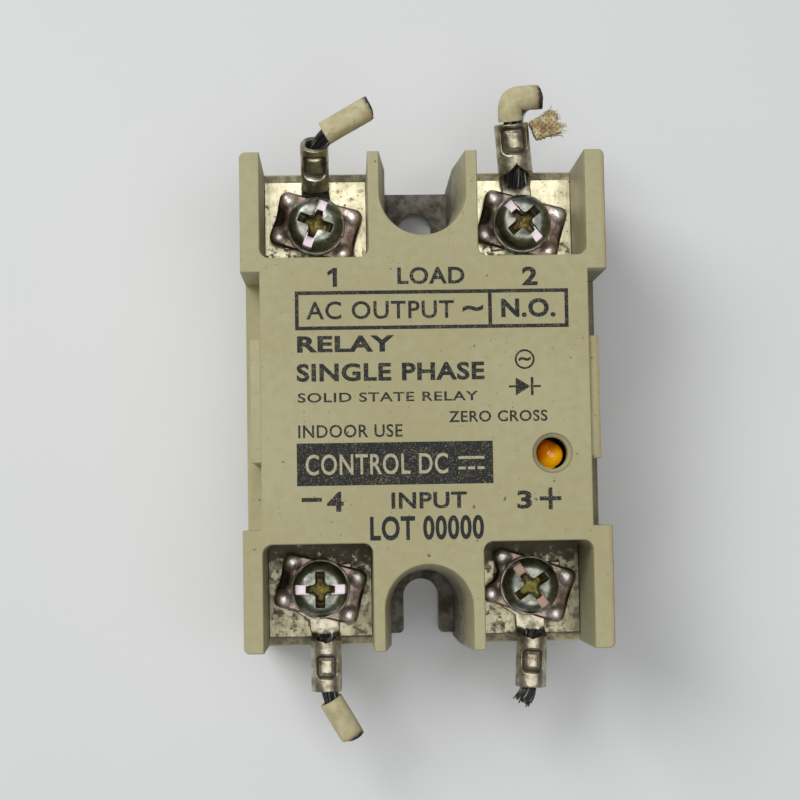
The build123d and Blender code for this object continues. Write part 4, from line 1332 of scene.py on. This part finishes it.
@dataclass
class ClampWasher:
    """A stamped rectangular washer with a dome at each corner, dished between them."""

    spot: Spot
    length: float = 10.4
    width: float = 6.7
    corner: float = 0.95
    bore: float = 2.15
    thickness: float = 0.8
    dome: float = 0.42
    dome_radius: float = 1.45
    dome_x: float = 4.15
    dome_y: float = 2.35
    left_bite: float = 0.1
    left_valley: float = 0.55
    right_valley: float = 0.22
    around: int = 144
    rows: int = 26

    def rim(self, angle: float) -> Vector:
        """The outline's point in a direction from the middle."""
        way = Vector((math.cos(angle), math.sin(angle)))
        half = Vector((self.length / 2, self.width / 2))
        low, high = 0.0, self.length
        for _ in range(30):
            middle = (low + high) / 2
            point = way * middle
            over = Vector((max(0.0, abs(point.x) - half.x + self.corner),
                           max(0.0, abs(point.y) - half.y + self.corner)))
            low, high = (middle, high) if over.length < self.corner else (low, middle)
        point = way * low
        bite = 0.06 if point.x > 0 else self.left_bite
        inward = bite * blend(abs(point.x), self.length / 2 - 0.9, self.length / 2)
        inward *= 1 - blend(abs(point.y), 0.2, self.width / 2 - self.corner)
        point.x -= math.copysign(inward, point.x)
        return point

    def lift(self, x: float, y: float) -> float:
        """Height of the top face above its flat at a point."""
        away = math.hypot(abs(x) - self.dome_x, abs(y) - self.dome_y)
        height = self.dome * (1 - blend(away, 0.1, self.dome_radius))
        valley = blend(abs(x), 3.3, self.length / 2 - 0.4) * (1 - blend(abs(y), 0.3, 1.9))
        return height - (self.right_valley if x > 0 else self.left_valley) * valley

    def build(self) -> None:
        """Build the washer."""
        rings, lifts = [], []
        top = self.thickness
        for i in range(self.around):
            angle = TAU * i / self.around
            inner = Vector((math.cos(angle), math.sin(angle))) * self.bore
            outer = self.rim(angle)
            upper, lower = [], []
            for k in range(self.rows + 1):
                share = k / self.rows
                flat = inner.lerp(outer, share)
                roll = 0.26 * (1 - math.sqrt(1 - blend(share, 0.80, 1.0) ** 2 * 0.98))
                height = self.lift(flat.x, flat.y)
                upper.append(Vector((flat.x, flat.y, top + height - roll)))
                lower.append(Vector((flat.x, flat.y, max(0.0, height * 0.7 * blend(share, 0.3, 0.7)))))
            ring = upper + list(reversed(lower))
            rings.append(ring)
            lifts += [(point.z - top + 0.4) / (self.dome + 0.4) for point in upper] + [0.0] * len(lower)
        mesh = from_rings("clamp", rings, closed=True)
        number = self.spot.number
        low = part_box(f"clamp_washer_{number}")[0].z / MM
        place = Matrix.Translation((self.spot.screw.x, self.spot.screw.y, low))
        shifted(mesh, place @ Matrix.Rotation(math.radians(self.spot.washer_turn), 4, "Z"))
        set_attribute(mesh, "height", lifts)
        placed(f"clamp_plate_{number}", smooth(mesh, 50), FINISHES["washer"], f"clamp_{number}",
               f"clamp_washer_{number}")


@dataclass
class SpringWasher:
    """The split ring under the screw's head."""

    spot: Spot
    tree: SplitRingTree
    radius: float = 2.87
    width: float = 1.42
    height: float = 0.78
    rise: float = 0.10
    lag: float = 100.0

    def build(self) -> None:
        """Build the ring, with its split where the CAD ring has it."""
        number = self.spot.number
        mesh = self.tree.grow(FINISHES["spring"], Radius=self.radius * MM, Width=self.width * MM,
                              Height=self.height * MM, Rise=self.rise * MM)
        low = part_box(f"spring_washer_{number}")[0].z / MM
        place = Matrix.Translation((self.spot.screw.x, self.spot.screw.y, low + self.height / 2 + 0.01))
        turn = math.radians(self.spot.slot_turn - self.lag)
        shifted(mesh, place @ Matrix.Rotation(turn, 4, "Z"))
        mesh = bevelled(recalculated(mesh), 0.08, 2, 40)
        placed(f"split_ring_{number}", smooth(mesh, 40), FINISHES["spring"], f"clamp_{number}",
               f"spring_washer_{number}")


# ------------------------------------------------------------------ lugs and cut wires

@dataclass
class CrimpLug:
    """A fork lug: flat tongue, a neck whose sides curl up, and a tube with a crimped pocket."""

    spot: Spot
    neck_length: float = 1.6
    thickness: float = 0.78
    tube_wall: float = 0.62
    fork_width: float = 8.0
    fork_slot: float = 4.35
    fork_tip: float = 2.7
    neck_width: float = 3.6
    # how dark the neck is painted: dirt and painted shade
    neck_shade_and_dirt: float = 0.35
    open_part: float = 0.2
    pocket: tuple[float, float] = (1.35, 1.2)
    pocket_place: float = 3.0
    pocket_depth: float = 0.52
    voxel: float = 0.09

    def fork(self) -> bpy.types.Mesh:
        """The flat tongue with its open slot."""
        half, slot, tip = self.fork_width / 2, self.fork_slot / 2, self.fork_tip
        neck = self.neck_width / 2
        end = max(3.6, self.spot.barrel_start - self.neck_length)
        outline = [(-half, -tip), (-half, 2.0), (-neck, end - 1.0), (-neck, end + 0.3),
                   (neck, end + 0.3), (neck, end - 1.0), (half, 2.0), (half, -tip), (slot, -tip)]
        outline += [(slot * math.cos(math.pi * i / 16), slot * math.sin(math.pi * i / 16)) for i in range(17)]
        return prism("fork", outline + [(-slot, -tip)], 0, self.thickness)

    def section(self, foot: Vector, up: Vector, across: Vector, width: float, half_turn: float,
                wall: float) -> list[Vector]:
        """A strip's section, curled up about its bottom line.

        Args:
            foot: Its lowest point.
            up: The way it curls.
            across: Its sideways direction.
            width: The strip's width along its middle.
            half_turn: Half of the angle that it is curled to.
            wall: Its thickness.

        Returns:
            The points round it.
        """
        radius = width / (2 * half_turn)
        centre = foot + up * (radius + wall / 2)
        turns = [half_turn * (2 * i / 40 - 1) for i in range(41)]

        def arc(r: float) -> list[Vector]:
            """The points of one side of the strip."""
            return [centre + (across * math.sin(t) - up * math.cos(t)) * r for t in turns]

        return arc(radius + wall / 2) + list(reversed(arc(radius - wall / 2)))

    def tube(self) -> bpy.types.Mesh:
        """The neck and the barrel, as one strip that curls into a tube."""
        across, along, up = self.spot.axes
        radius = self.spot.barrel_radius
        foot = self.spot.base - up * radius
        start = Vector((0, max(3.4, self.spot.barrel_start - self.neck_length), 0))
        slope = max(math.tan(math.radians(self.spot.barrel_tilt)), 1)
        knee = start.lerp(Vector((0, foot.y - foot.z / slope, 0)), 0.75)
        flat_across, flat_up = Vector((1, 0, 0)), Vector((0, 0, 1))
        closed_half = radius - self.tube_wall / 2
        run = (knee - start).length + (foot - knee).length
        share_to_foot = run / (run + self.open_part)
        rings = []
        for i in range(37):
            s = i / 36
            if s < share_to_foot:
                t = s / share_to_foot
                place = start.lerp(knee, t).lerp(knee.lerp(foot, t), t)
                turned = t
            else:
                place = foot + along * (s - share_to_foot) / (1 - share_to_foot) * self.open_part
                turned = 1.0
            half_turn = 0.06 + (math.pi - 0.064) * blend(s, 0.05, 1.0) ** 1.3
            half = self.neck_width / 2 + (closed_half - self.neck_width / 2) * blend(s, 0.0, 0.6)
            width = 2 * half_turn * half / math.sin(min(half_turn, math.pi / 2))
            wall = self.thickness + (self.tube_wall - self.thickness) * s
            rings.append(self.section(place, flat_up.lerp(up, turned).normalized(),
                                      flat_across.lerp(across, turned).normalized(), width, half_turn, wall))
        for i in range(1, 31):
            distance = self.open_part + (self.spot.barrel_length - self.open_part) * i / 30
            rings.append(self.section(foot + along * distance, up, across, TAU * closed_half,
                                      math.pi - 0.004, self.tube_wall))
        return from_rings("tube", rings)

    def dent(self, point: Vector) -> tuple[float, float]:
        """How deep the crimp presses at a point, and how much grime and painted shade it gets there."""
        across, along, up = self.spot.axes
        away = point - self.spot.base
        u, v, w = away.dot(along) - self.pocket_place, away.dot(across), away.dot(up)
        facing = blend(w, self.spot.barrel_radius * 0.35, self.spot.barrel_radius * 0.75)
        edge = max(abs(u) / self.pocket[0], abs(v) / self.pocket[1])
        corner = math.hypot(max(0.0, abs(u) / self.pocket[0] - 0.55),
                            max(0.0, abs(v) / self.pocket[1] - 0.55))
        edge = max(edge * 0.9, 0.55 + corner)
        pressed = (1 - blend(edge, 0.86, 1.12)) * facing
        crowned = 1 - blend(edge, 0.35, 0.78)
        depth = pressed * (self.pocket_depth - 0.34 * crowned)
        # dirt and painted shade: the groove round the pocket, the underside of the barrel's inner end and the neck
        groove = pressed * (1 - blend(edge, 0.9, 0.55) if edge > 0.55 else 0.0)
        low = blend(w, 0.1, -self.spot.barrel_radius) * blend(u + self.pocket_place, -1.6, -0.2)
        neck = (1 - blend(u + self.pocket_place, -0.6, 0.9)) * blend(u + self.pocket_place, -3.4, -1.6)
        return depth, max(groove, low * 0.75, neck * self.neck_shade_and_dirt)

    def build(self) -> None:
        """Build the lug."""
        number = self.spot.number
        mesh = joined("lug", [self.fork(), self.tube()])
        mesh = with_modifiers(
            mesh, ("REMESH", {"mode": "VOXEL", "voxel_size": self.voxel * MM}),
            ("SMOOTH", {"factor": 0.6, "iterations": 5}))
        _, _, up = self.spot.axes
        dirt = []
        for vertex, normal in zip(mesh.vertices, normals_of(mesh)):
            point = vertex.co / MM
            depth, grime = self.dent(point)
            wobble = noise.noise(point * 1.3 + Vector((number * 9, 0, 0))) * 0.035
            vertex.co = (point - up * depth + normal * wobble) * MM
            dirt.append(grime)
        set_attribute(mesh, "grime", dirt)
        shifted(mesh, self.spot.tongue)
        placed(f"lug_{number}", smooth(recalculated(mesh), 60), FINISHES["lug"], f"lug_{number}",
               f"crimp_lug_{number}")


def line_mesh(points: Sequence[Vector]) -> bpy.types.Mesh:
    """A guide line through points, in millimetres."""
    mesh = bpy.data.meshes.new("guide")
    mesh.from_pydata([point * MM for point in points], [(i, i + 1) for i in range(len(points) - 1)], [])
    return mesh


def rounded_route(points: Sequence[Vector], steps: int = 10) -> list[Vector]:
    """Points of a line whose corners are eased, each between the middles of its runs."""
    route = [points[0]]
    for before, corner, after in zip(points, points[1:], points[2:]):
        start, end = before.lerp(corner, 0.5), corner.lerp(after, 0.5)
        route += [start.lerp(corner, t / steps).lerp(corner.lerp(end, t / steps), t / steps)
                  for t in range(steps + 1)]
    return route + [points[-1]]


@dataclass(frozen=True)
class Bundle:
    """A bundle of strands along a route, with how its ends fan and fray."""

    route: tuple[Vector, ...]
    count: int = 44
    radius: float = 0.92
    strand: float = 0.105
    twist: float = 2.2
    start_fan: float = 0.0
    end_fan: float = 0.0
    loose: float = 0.05
    uneven: float = 0.02
    seed: int = 1

    def grow(self, tree: StrandTree, finish: Finish) -> bpy.types.Mesh:
        """Grow its strands."""
        return tree.grow(finish, line_mesh(rounded_route(self.route)), Count=self.count,
                         Bundle=self.radius * MM, Strand=self.strand * MM, Twist=self.twist,
                         Start_Fan=self.start_fan, End_Fan=self.end_fan, Loose=self.loose * MM,
                         Uneven=self.uneven, Seed=self.seed)


@dataclass(frozen=True)
class Sleeve:
    """A stub of insulation along a route, with ragged, slanted cuts."""

    name: str
    number: int
    route: tuple[Vector, ...]
    radius: float = 1.45
    bore: float = 1.06
    slant: float = 0.0
    scorch: float = 0.9
    seed: int = 1
    around: int = 56

    def build(self) -> None:
        """Build the sleeve."""
        line = rounded_route(self.route, 14)
        even = self.spaced(line, 40)
        outer, inner = [], []
        up = Vector((0, 0, 1))
        for k, point in enumerate(even):
            way = (even[min(k + 1, len(even) - 1)] - even[max(k - 1, 0)]).normalized()
            side = way.cross(up).normalized()
            rise = side.cross(way)
            share = k / (len(even) - 1)
            outer.append(self.ring(point, way, side, rise, self.radius, share))
            inner.append(self.ring(point, way, side, rise, self.bore, share))
        mesh = from_rings(self.name, outer + list(reversed(inner)), closed=True)
        mesh = bevelled(mesh, 0.06, 2, 50)
        way = (even[-1] - even[-2]).normalized()
        finish = SleevePlastic(
            f"{self.name}_finish", "sleeve_cream", tuple(even[-1]), tuple(way), self.scorch)
        placed(self.name, smooth(mesh, 50), finish, f"lug_{self.number}", f"wire_{self.name}")

    @staticmethod
    def spaced(line: Sequence[Vector], count: int) -> list[Vector]:
        """Points at even distances along a line."""
        runs = [(b - a).length for a, b in zip(line, line[1:])]
        total, result, i, passed = sum(runs), [], 0, 0.0
        for k in range(count + 1):
            target = total * k / count
            while i < len(runs) - 1 and passed + runs[i] < target:
                passed += runs[i]
                i += 1
            share = (target - passed) / runs[i] if runs[i] > 0 else 0.0
            result.append(line[i].lerp(line[i + 1], min(1.0, share)))
        return result

    def ring(self, centre: Vector, way: Vector, side: Vector, rise: Vector, radius: float,
             share: float) -> list[Vector]:
        """One ring of the tube, slanted and ragged near the cut ends."""
        points = []
        near_end = blend(share, 0.86, 1.0)
        for i in range(self.around):
            angle = TAU * i / self.around
            out = side * math.cos(angle) + rise * math.sin(angle)
            seat = out * 1.7 + Vector((self.seed * 5.0, 0, share * 2))
            dent = 1 + 0.035 * noise.noise(seat * 0.9) - 0.03 * near_end
            ragged = 0.16 * noise.noise(seat * 2.6) * near_end
            lean = self.slant * math.cos(angle) * near_end
            points.append(centre + out * radius * dent - way * (abs(ragged) + max(0.0, lean)))
        return points


@dataclass
class FrayedRag:
    """A torn flat piece of braid with fibres standing out of its end."""

    tree: StrandTree
    half_width: float = 1.5
    half_height: float = 0.62
    rows: int = 30
    around: int = 64

    def build(self) -> None:
        """Build the rag and its fibres."""
        low, high = (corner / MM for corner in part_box("frayed_sleeve_2"))
        start = Vector((low.x + 0.35, low.y + 1.2, (low.z + high.z) / 2 + 0.15))
        end = Vector((high.x - 0.25, high.y - 1.1, (low.z + high.z) / 2 - 0.05))
        way = (end - start).normalized()
        side = way.cross(Vector((0, 0, 1))).normalized()
        rise = side.cross(way)
        rings = []
        for k in range(self.rows + 1):
            share = k / self.rows
            ring = []
            for i in range(self.around):
                angle = TAU * i / self.around
                x = math.copysign(abs(math.cos(angle)) ** 0.75, math.cos(angle)) * self.half_width
                z = math.copysign(abs(math.sin(angle)) ** 0.75, math.sin(angle)) * self.half_height
                x *= 0.84 + 0.16 * share
                point = start.lerp(end, share) + side * x + rise * z
                jag = noise.noise(Vector((x * 2.1, z * 1.3, 3.0))) * 1.0 * blend(share, 0.6, 1.0)
                point += way * jag + rise * noise.noise(point * 1.1) * 0.22
                ring.append(point + (point - start.lerp(end, share)) * noise.noise(point * 3.0) * 0.16)
            rings.append(ring)
        mesh = with_modifiers(from_rings("rag", rings), ("SUBSURF", {"levels": 1, "render_levels": 1}))
        for vertex, normal in zip(mesh.vertices, normals_of(mesh)):
            point = vertex.co / MM
            crossing = math.sin(point.x * 7 + point.y * 7) * math.sin(point.x * 7 - point.y * 7)
            vertex.co += normal * crossing * 0.05 * MM
        fibres = []
        for i in range(7):
            across = side * (i - 3) * 0.42
            root, tip = start.lerp(end, 0.5) + across, end + across * 1.2 + way * (0.35 + 0.25 * (i % 3))
            fibres.append(Bundle((root, root.lerp(tip, 0.5), tip), 12, 0.34, 0.035, 0.6, 0.0, 0.9, 0.3, 0.35,
                                 40 + i).grow(self.tree, FINISHES["fray"]))
        placed("torn_braid", smooth(joined("torn_braid", [mesh, *fibres]), 60), FINISHES["fray"], "lug_2",
               "frayed_sleeve_2")


@dataclass
class WireEnds:
    """The cut wire in each lug: bared strands, and what is left of its insulation."""

    tree: StrandTree
    overhang: float = 0.5

    def through(self, number: int, past: float) -> tuple[Vector, Vector]:
        """The stretch of a wire that lies in its barrel, and a little past its mouth."""
        spot = SPOTS[number]
        return spot.on_axis(-self.overhang), spot.on_axis(spot.barrel_length + past)

    def wire(self, number: int, bundles: Sequence[Bundle]) -> None:
        """Build the strands of one lug."""
        meshes = [bundle.grow(self.tree, FINISHES["strand"]) for bundle in bundles]
        placed(f"strands_{number}", smooth(joined("strands", meshes), 60), FINISHES["strand"],
               f"lug_{number}", f"wire_strands_{number}")

    def elbow(self) -> tuple[Vector, ...]:
        """The route of the folded sleeve over barrel 2."""
        spot = SPOTS[2]
        along = spot.direction
        side = (Vector((1, 0, 0)) - along * along.x).normalized()
        start = spot.on_axis(spot.barrel_length + 0.3)
        return (start, start + along * 1.0, start + along * 2.6 + side * 0.3,
                start + along * 2.6 + side * 2.4, start + along * 2.5 + side * 4.1)

    def build(self) -> None:
        """Build all four wire ends."""
        start, mouth = self.through(1, 0.6)
        way = Vector((0.87, 0.475, 0.13)).normalized()
        self.wire(1, [Bundle((start, mouth, mouth + way * 7.8), 46, 0.96, seed=11, uneven=0.01)])
        Sleeve("sleeve_1", 1, (mouth + way * 1.45, mouth + way * 4.75, mouth + way * 8.0),
               slant=0.5, scorch=0.45, seed=2).build()

        start, mouth = self.through(2, 0.3)
        spot = SPOTS[2]
        back = spot.on_axis(-1.7) - Vector((0, 0, 0.45))
        route = self.elbow()
        tuft = spot.on_axis(spot.barrel_length - 0.6)
        side = Vector((1, 0.1, 0.05))
        self.wire(2, [
            Bundle((start, mouth, *route[:-1], route[-1]), 40, 0.9, seed=21, uneven=0.03),
            Bundle((back, start.lerp(back, 0.3), spot.on_axis(1.2)), 48, 1.15, 0.12, 0.5, 0.12, 0.0,
                   0.18, 0.10, 22),
            Bundle((tuft + side * 0.9, tuft + side * 1.3 + spot.direction * 1.2,
                    tuft + side * 1.9 + spot.direction * 2.6), 12, 0.42, 0.08, 0.6, 0.0, 0.8, 0.25, 0.2, 23)])
        Sleeve("sleeve_2", 2, route, radius=1.5, slant=-0.45, scorch=0.8, seed=3).build()
        FrayedRag(self.tree).build()

        start, mouth = self.through(3, 0.3)
        way = Vector((-0.6, -0.8, 0.05)).normalized()
        inner = SPOTS[3].on_axis(-0.9)
        self.wire(3, [Bundle((start, mouth, mouth + way * 2.1), 80, 0.92, 0.085, 1.6, 0.0, 0.18, 0.16, 0.16, 31),
                      Bundle((inner, start, SPOTS[3].on_axis(1.0)), 22, 0.8, 0.12, 0.5, 0.1, 0.0, 0.12, 0.1, 32)])

        start, mouth = self.through(4, 0.3)
        way = Vector((0.5, -0.86, -0.08)).normalized()
        inner = SPOTS[4].on_axis(-0.9)
        self.wire(4, [Bundle((start, mouth, mouth + way * 6.2), 46, 0.94, seed=41, uneven=0.01),
                      Bundle((inner, start, SPOTS[4].on_axis(1.0)), 22, 0.8, 0.12, 0.5, 0.1, 0.0, 0.12, 0.1, 42)])
        Sleeve("sleeve_4", 4, (mouth + way * 0.9, mouth + way * 3.6, mouth + way * 6.35),
               slant=0.4, scorch=0.5, seed=4).build()


@dataclass
class Terminals:
    """All four screw terminals."""

    dirty: frozenset[int] = frozenset({3, 4})

    def build(self) -> None:
        """Build each terminal's pieces, then the wire ends."""
        thread, ring, strand = ThreadTree(), SplitRingTree(), StrandTree()
        # the neck's darkness sets its dirt and painted shade
        crimps: dict[int, dict[str, Any]] = {
            1: {"neck_shade_and_dirt": 0.9, "pocket": (1.55, 1.3), "pocket_place": 3.5, "pocket_depth": 0.6},
            2: {"neck_shade_and_dirt": 0.5, "neck_length": 3.2, "open_part": 1.3, "pocket": (1.6, 1.5), "pocket_place": 4.0},
            3: {"pocket_place": 2.8},
            4: {},
        }
        bites = {1: 0.12, 2: 0.12, 3: 1.0, 4: 0.15}
        for number, spot in SPOTS.items():
            plate = "contact_dirty" if number in self.dirty else "contact_clean"
            dress(f"terminal_plate_{number}", FINISHES[plate])
            dress(f"terminal_nut_{number}", FINISHES["nut"])
            ClampWasher(spot, left_bite=bites[number]).build()
            SpringWasher(spot, ring).build()
            Screw(spot, thread, number == 3).build()
            CrimpLug(spot, **crimps[number]).build()
        WireEnds(strand).build()


# ------------------------------------------------------------------ lamp and circuit

@dataclass
class Indicator:
    """The amber lamp: domed epoxy with a flange, over its cup and leads."""

    body_length: float = 4.6
    flange: float = 0.8
    cup_radius: float = 0.85
    lean: tuple[float, float] = (0.26, -0.10)

    def build(self) -> None:
        """Build the lamp."""
        low, high = (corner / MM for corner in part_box("indicator_led"))
        x, y = (low.x + high.x) / 2, (low.y + high.y) / 2
        wide, radius, foot = (high.x - low.x) / 2, 1.5, high.z - self.body_length
        profile = [(0.0, foot), (wide - 0.1, foot), (wide, foot + 0.1), (wide, foot + self.flange - 0.1),
                   (wide - 0.1, foot + self.flange), (radius, foot + self.flange + 0.02)]
        profile += [(radius * math.cos(math.pi / 2 * i / 14),
                     high.z - radius + radius * math.sin(math.pi / 2 * i / 14))
                    for i in range(15)]
        epoxy = lathe("epoxy", profile, 72)
        for vertex in epoxy.vertices:
            raised = max(0.0, (vertex.co.z / MM - foot - self.flange) / (self.body_length - self.flange))
            vertex.co.x += self.lean[0] * raised * MM
            vertex.co.y += self.lean[1] * raised * MM
        shifted(epoxy, Matrix.Translation((x, y, 0)))
        placed("lamp_dome", smooth(recalculated(epoxy, 1e-6), 40), FINISHES["amber"], "relay_body",
               "indicator_led")
        seat = foot + 1.1
        rim = self.cup_radius
        cup = lathe("cup", [(0.0, seat), (rim * 0.8, seat), (rim, seat + 0.9), (rim * 0.9, seat + 0.9),
                            (rim * 0.5, seat + 0.45), (0.0, seat + 0.42)], 40)
        leads = [lathe("lead", [(0.0, low.z), (0.3, low.z), (0.3, seat + 0.1), (0.0, seat + 0.1)], 16)
                 for _ in range(2)]
        shifted(cup, Matrix.Translation((x, y, 0)))
        for side, lead in zip((-1, 1), leads):
            shifted(lead, Matrix.Translation((x + side * 1.0, y, 0)))
        frame_mesh = recalculated(joined("lead_frame", [cup, *leads]), 1e-6)
        placed("lamp_lead_frame", smooth(frame_mesh, 40), FINISHES["lead"], "relay_body")


@dataclass
class Circuit:
    """What the case holds: power stage, gel, board and its components."""

    finishes: dict[str, str] = field(default_factory=lambda: {
        "sealing_gel": "gel", "ceramic_substrate": "ceramic", "thyristor_chips": "silicon",
        "gate_leads": "lead", "load_bus_bar_1": "copper", "load_bus_bar_2": "copper",
        "circuit_board": "board", "opto_coupler": "package", "snubber_capacitor": "film_box",
        "varistor": "dipped", "input_transistor": "package", "input_diode": "package"})

    def build(self) -> None:
        """Dress every inner node."""
        for node, finish in self.finishes.items():
            dress(node, FINISHES[finish])
        for node in ("snubber_resistor", "input_resistors", "gate_resistors"):
            low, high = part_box(node)
            centre = (low.x + high.x) / 2 / MM
            pitch = (high.x - low.x) / MM / 9
            dress(node, BandedLacquer(f"{node}_lacquer", "resistor_body", centre=centre, pitch=pitch))


# ------------------------------------------------------------------ studio

@dataclass
class Studio:
    """Pale floor, soft light and the camera."""

    floor_size: float = 1.2
    lens: float = 79.29
    camera_at: Point = (-0.0093, -0.0140, 0.2296)

    def floor(self) -> None:
        """Lay the floor."""
        half = self.floor_size / 2
        mesh = bpy.data.meshes.new("floor")
        mesh.from_pydata([(-half, -half, 0), (half, -half, 0), (half, half, 0), (-half, half, 0)],
                         [], [(0, 1, 2, 3)])
        piece = bpy.data.objects.new("floor", mesh)
        piece.location.z = -0.02 * MM
        bpy.context.scene.collection.objects.link(piece)
        p = Paint("pale_floor")
        colour = p.mix(p.noise(0.02, 3.0), (0.74, 0.75, 0.755), (0.78, 0.79, 0.79))
        mesh.materials.append(p.finish(colour, 0.6))
        piece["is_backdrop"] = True

    def light(self, name: str, place: Point, size: float, power: float) -> None:
        """Hang a square soft light that faces the relay."""
        data = bpy.data.lights.new(name, "AREA")
        data.shape = "SQUARE"
        data.size = size
        data.energy = power
        lamp = bpy.data.objects.new(name, data)
        lamp.location = place
        lamp.rotation_euler = (-Vector(place)).to_track_quat("-Z", "Y").to_euler()
        bpy.context.scene.collection.objects.link(lamp)

    def build(self) -> None:
        """Set up the floor, lights, world, colour and camera."""
        self.floor()
        self.light("key", (-0.60, 0.52, 1.00), 0.60, 8.5)
        self.light("overhead", (0.12, -0.10, 1.20), 1.00, 5.6)
        world = bpy.data.worlds.new("studio")
        world.use_nodes = True
        world.node_tree.nodes["Background"].inputs["Color"].default_value = (0.80, 0.81, 0.82, 1)
        world.node_tree.nodes["Background"].inputs["Strength"].default_value = 0.20
        bpy.context.scene.world = world
        bpy.context.scene.view_settings.view_transform = "Standard"
        data = bpy.data.cameras.new("camera")
        data.lens = self.lens
        camera = bpy.data.objects.new("camera", data)
        right, up, back = (Vector((0.99942, -0.01638, 0.02981)), Vector((0.01431, 0.99754, 0.06858)),
                           Vector((-0.03086, -0.06812, 0.9972)))
        turn = Matrix((right, up, back)).transposed().to_4x4()
        camera.matrix_world = Matrix.Translation(self.camera_at) @ turn
        bpy.context.scene.collection.objects.link(camera)
        bpy.context.scene.camera = camera


def main() -> None:
    """Build the relay's looks, in order."""
    logging.basicConfig(level=logging.INFO, format="%(name)s: %(message)s")
    housing = Housing()
    housing.build()
    Legend(housing.top).build()
    Terminals().build()
    Indicator().build()
    Circuit().build()
    Studio().build()
    boxes = {"cad": CAD_BOX, "visual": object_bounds()}
    {name: [list(corner) for corner in box] for name, box in boxes.items()}


if __name__ == "__main__":
    main()
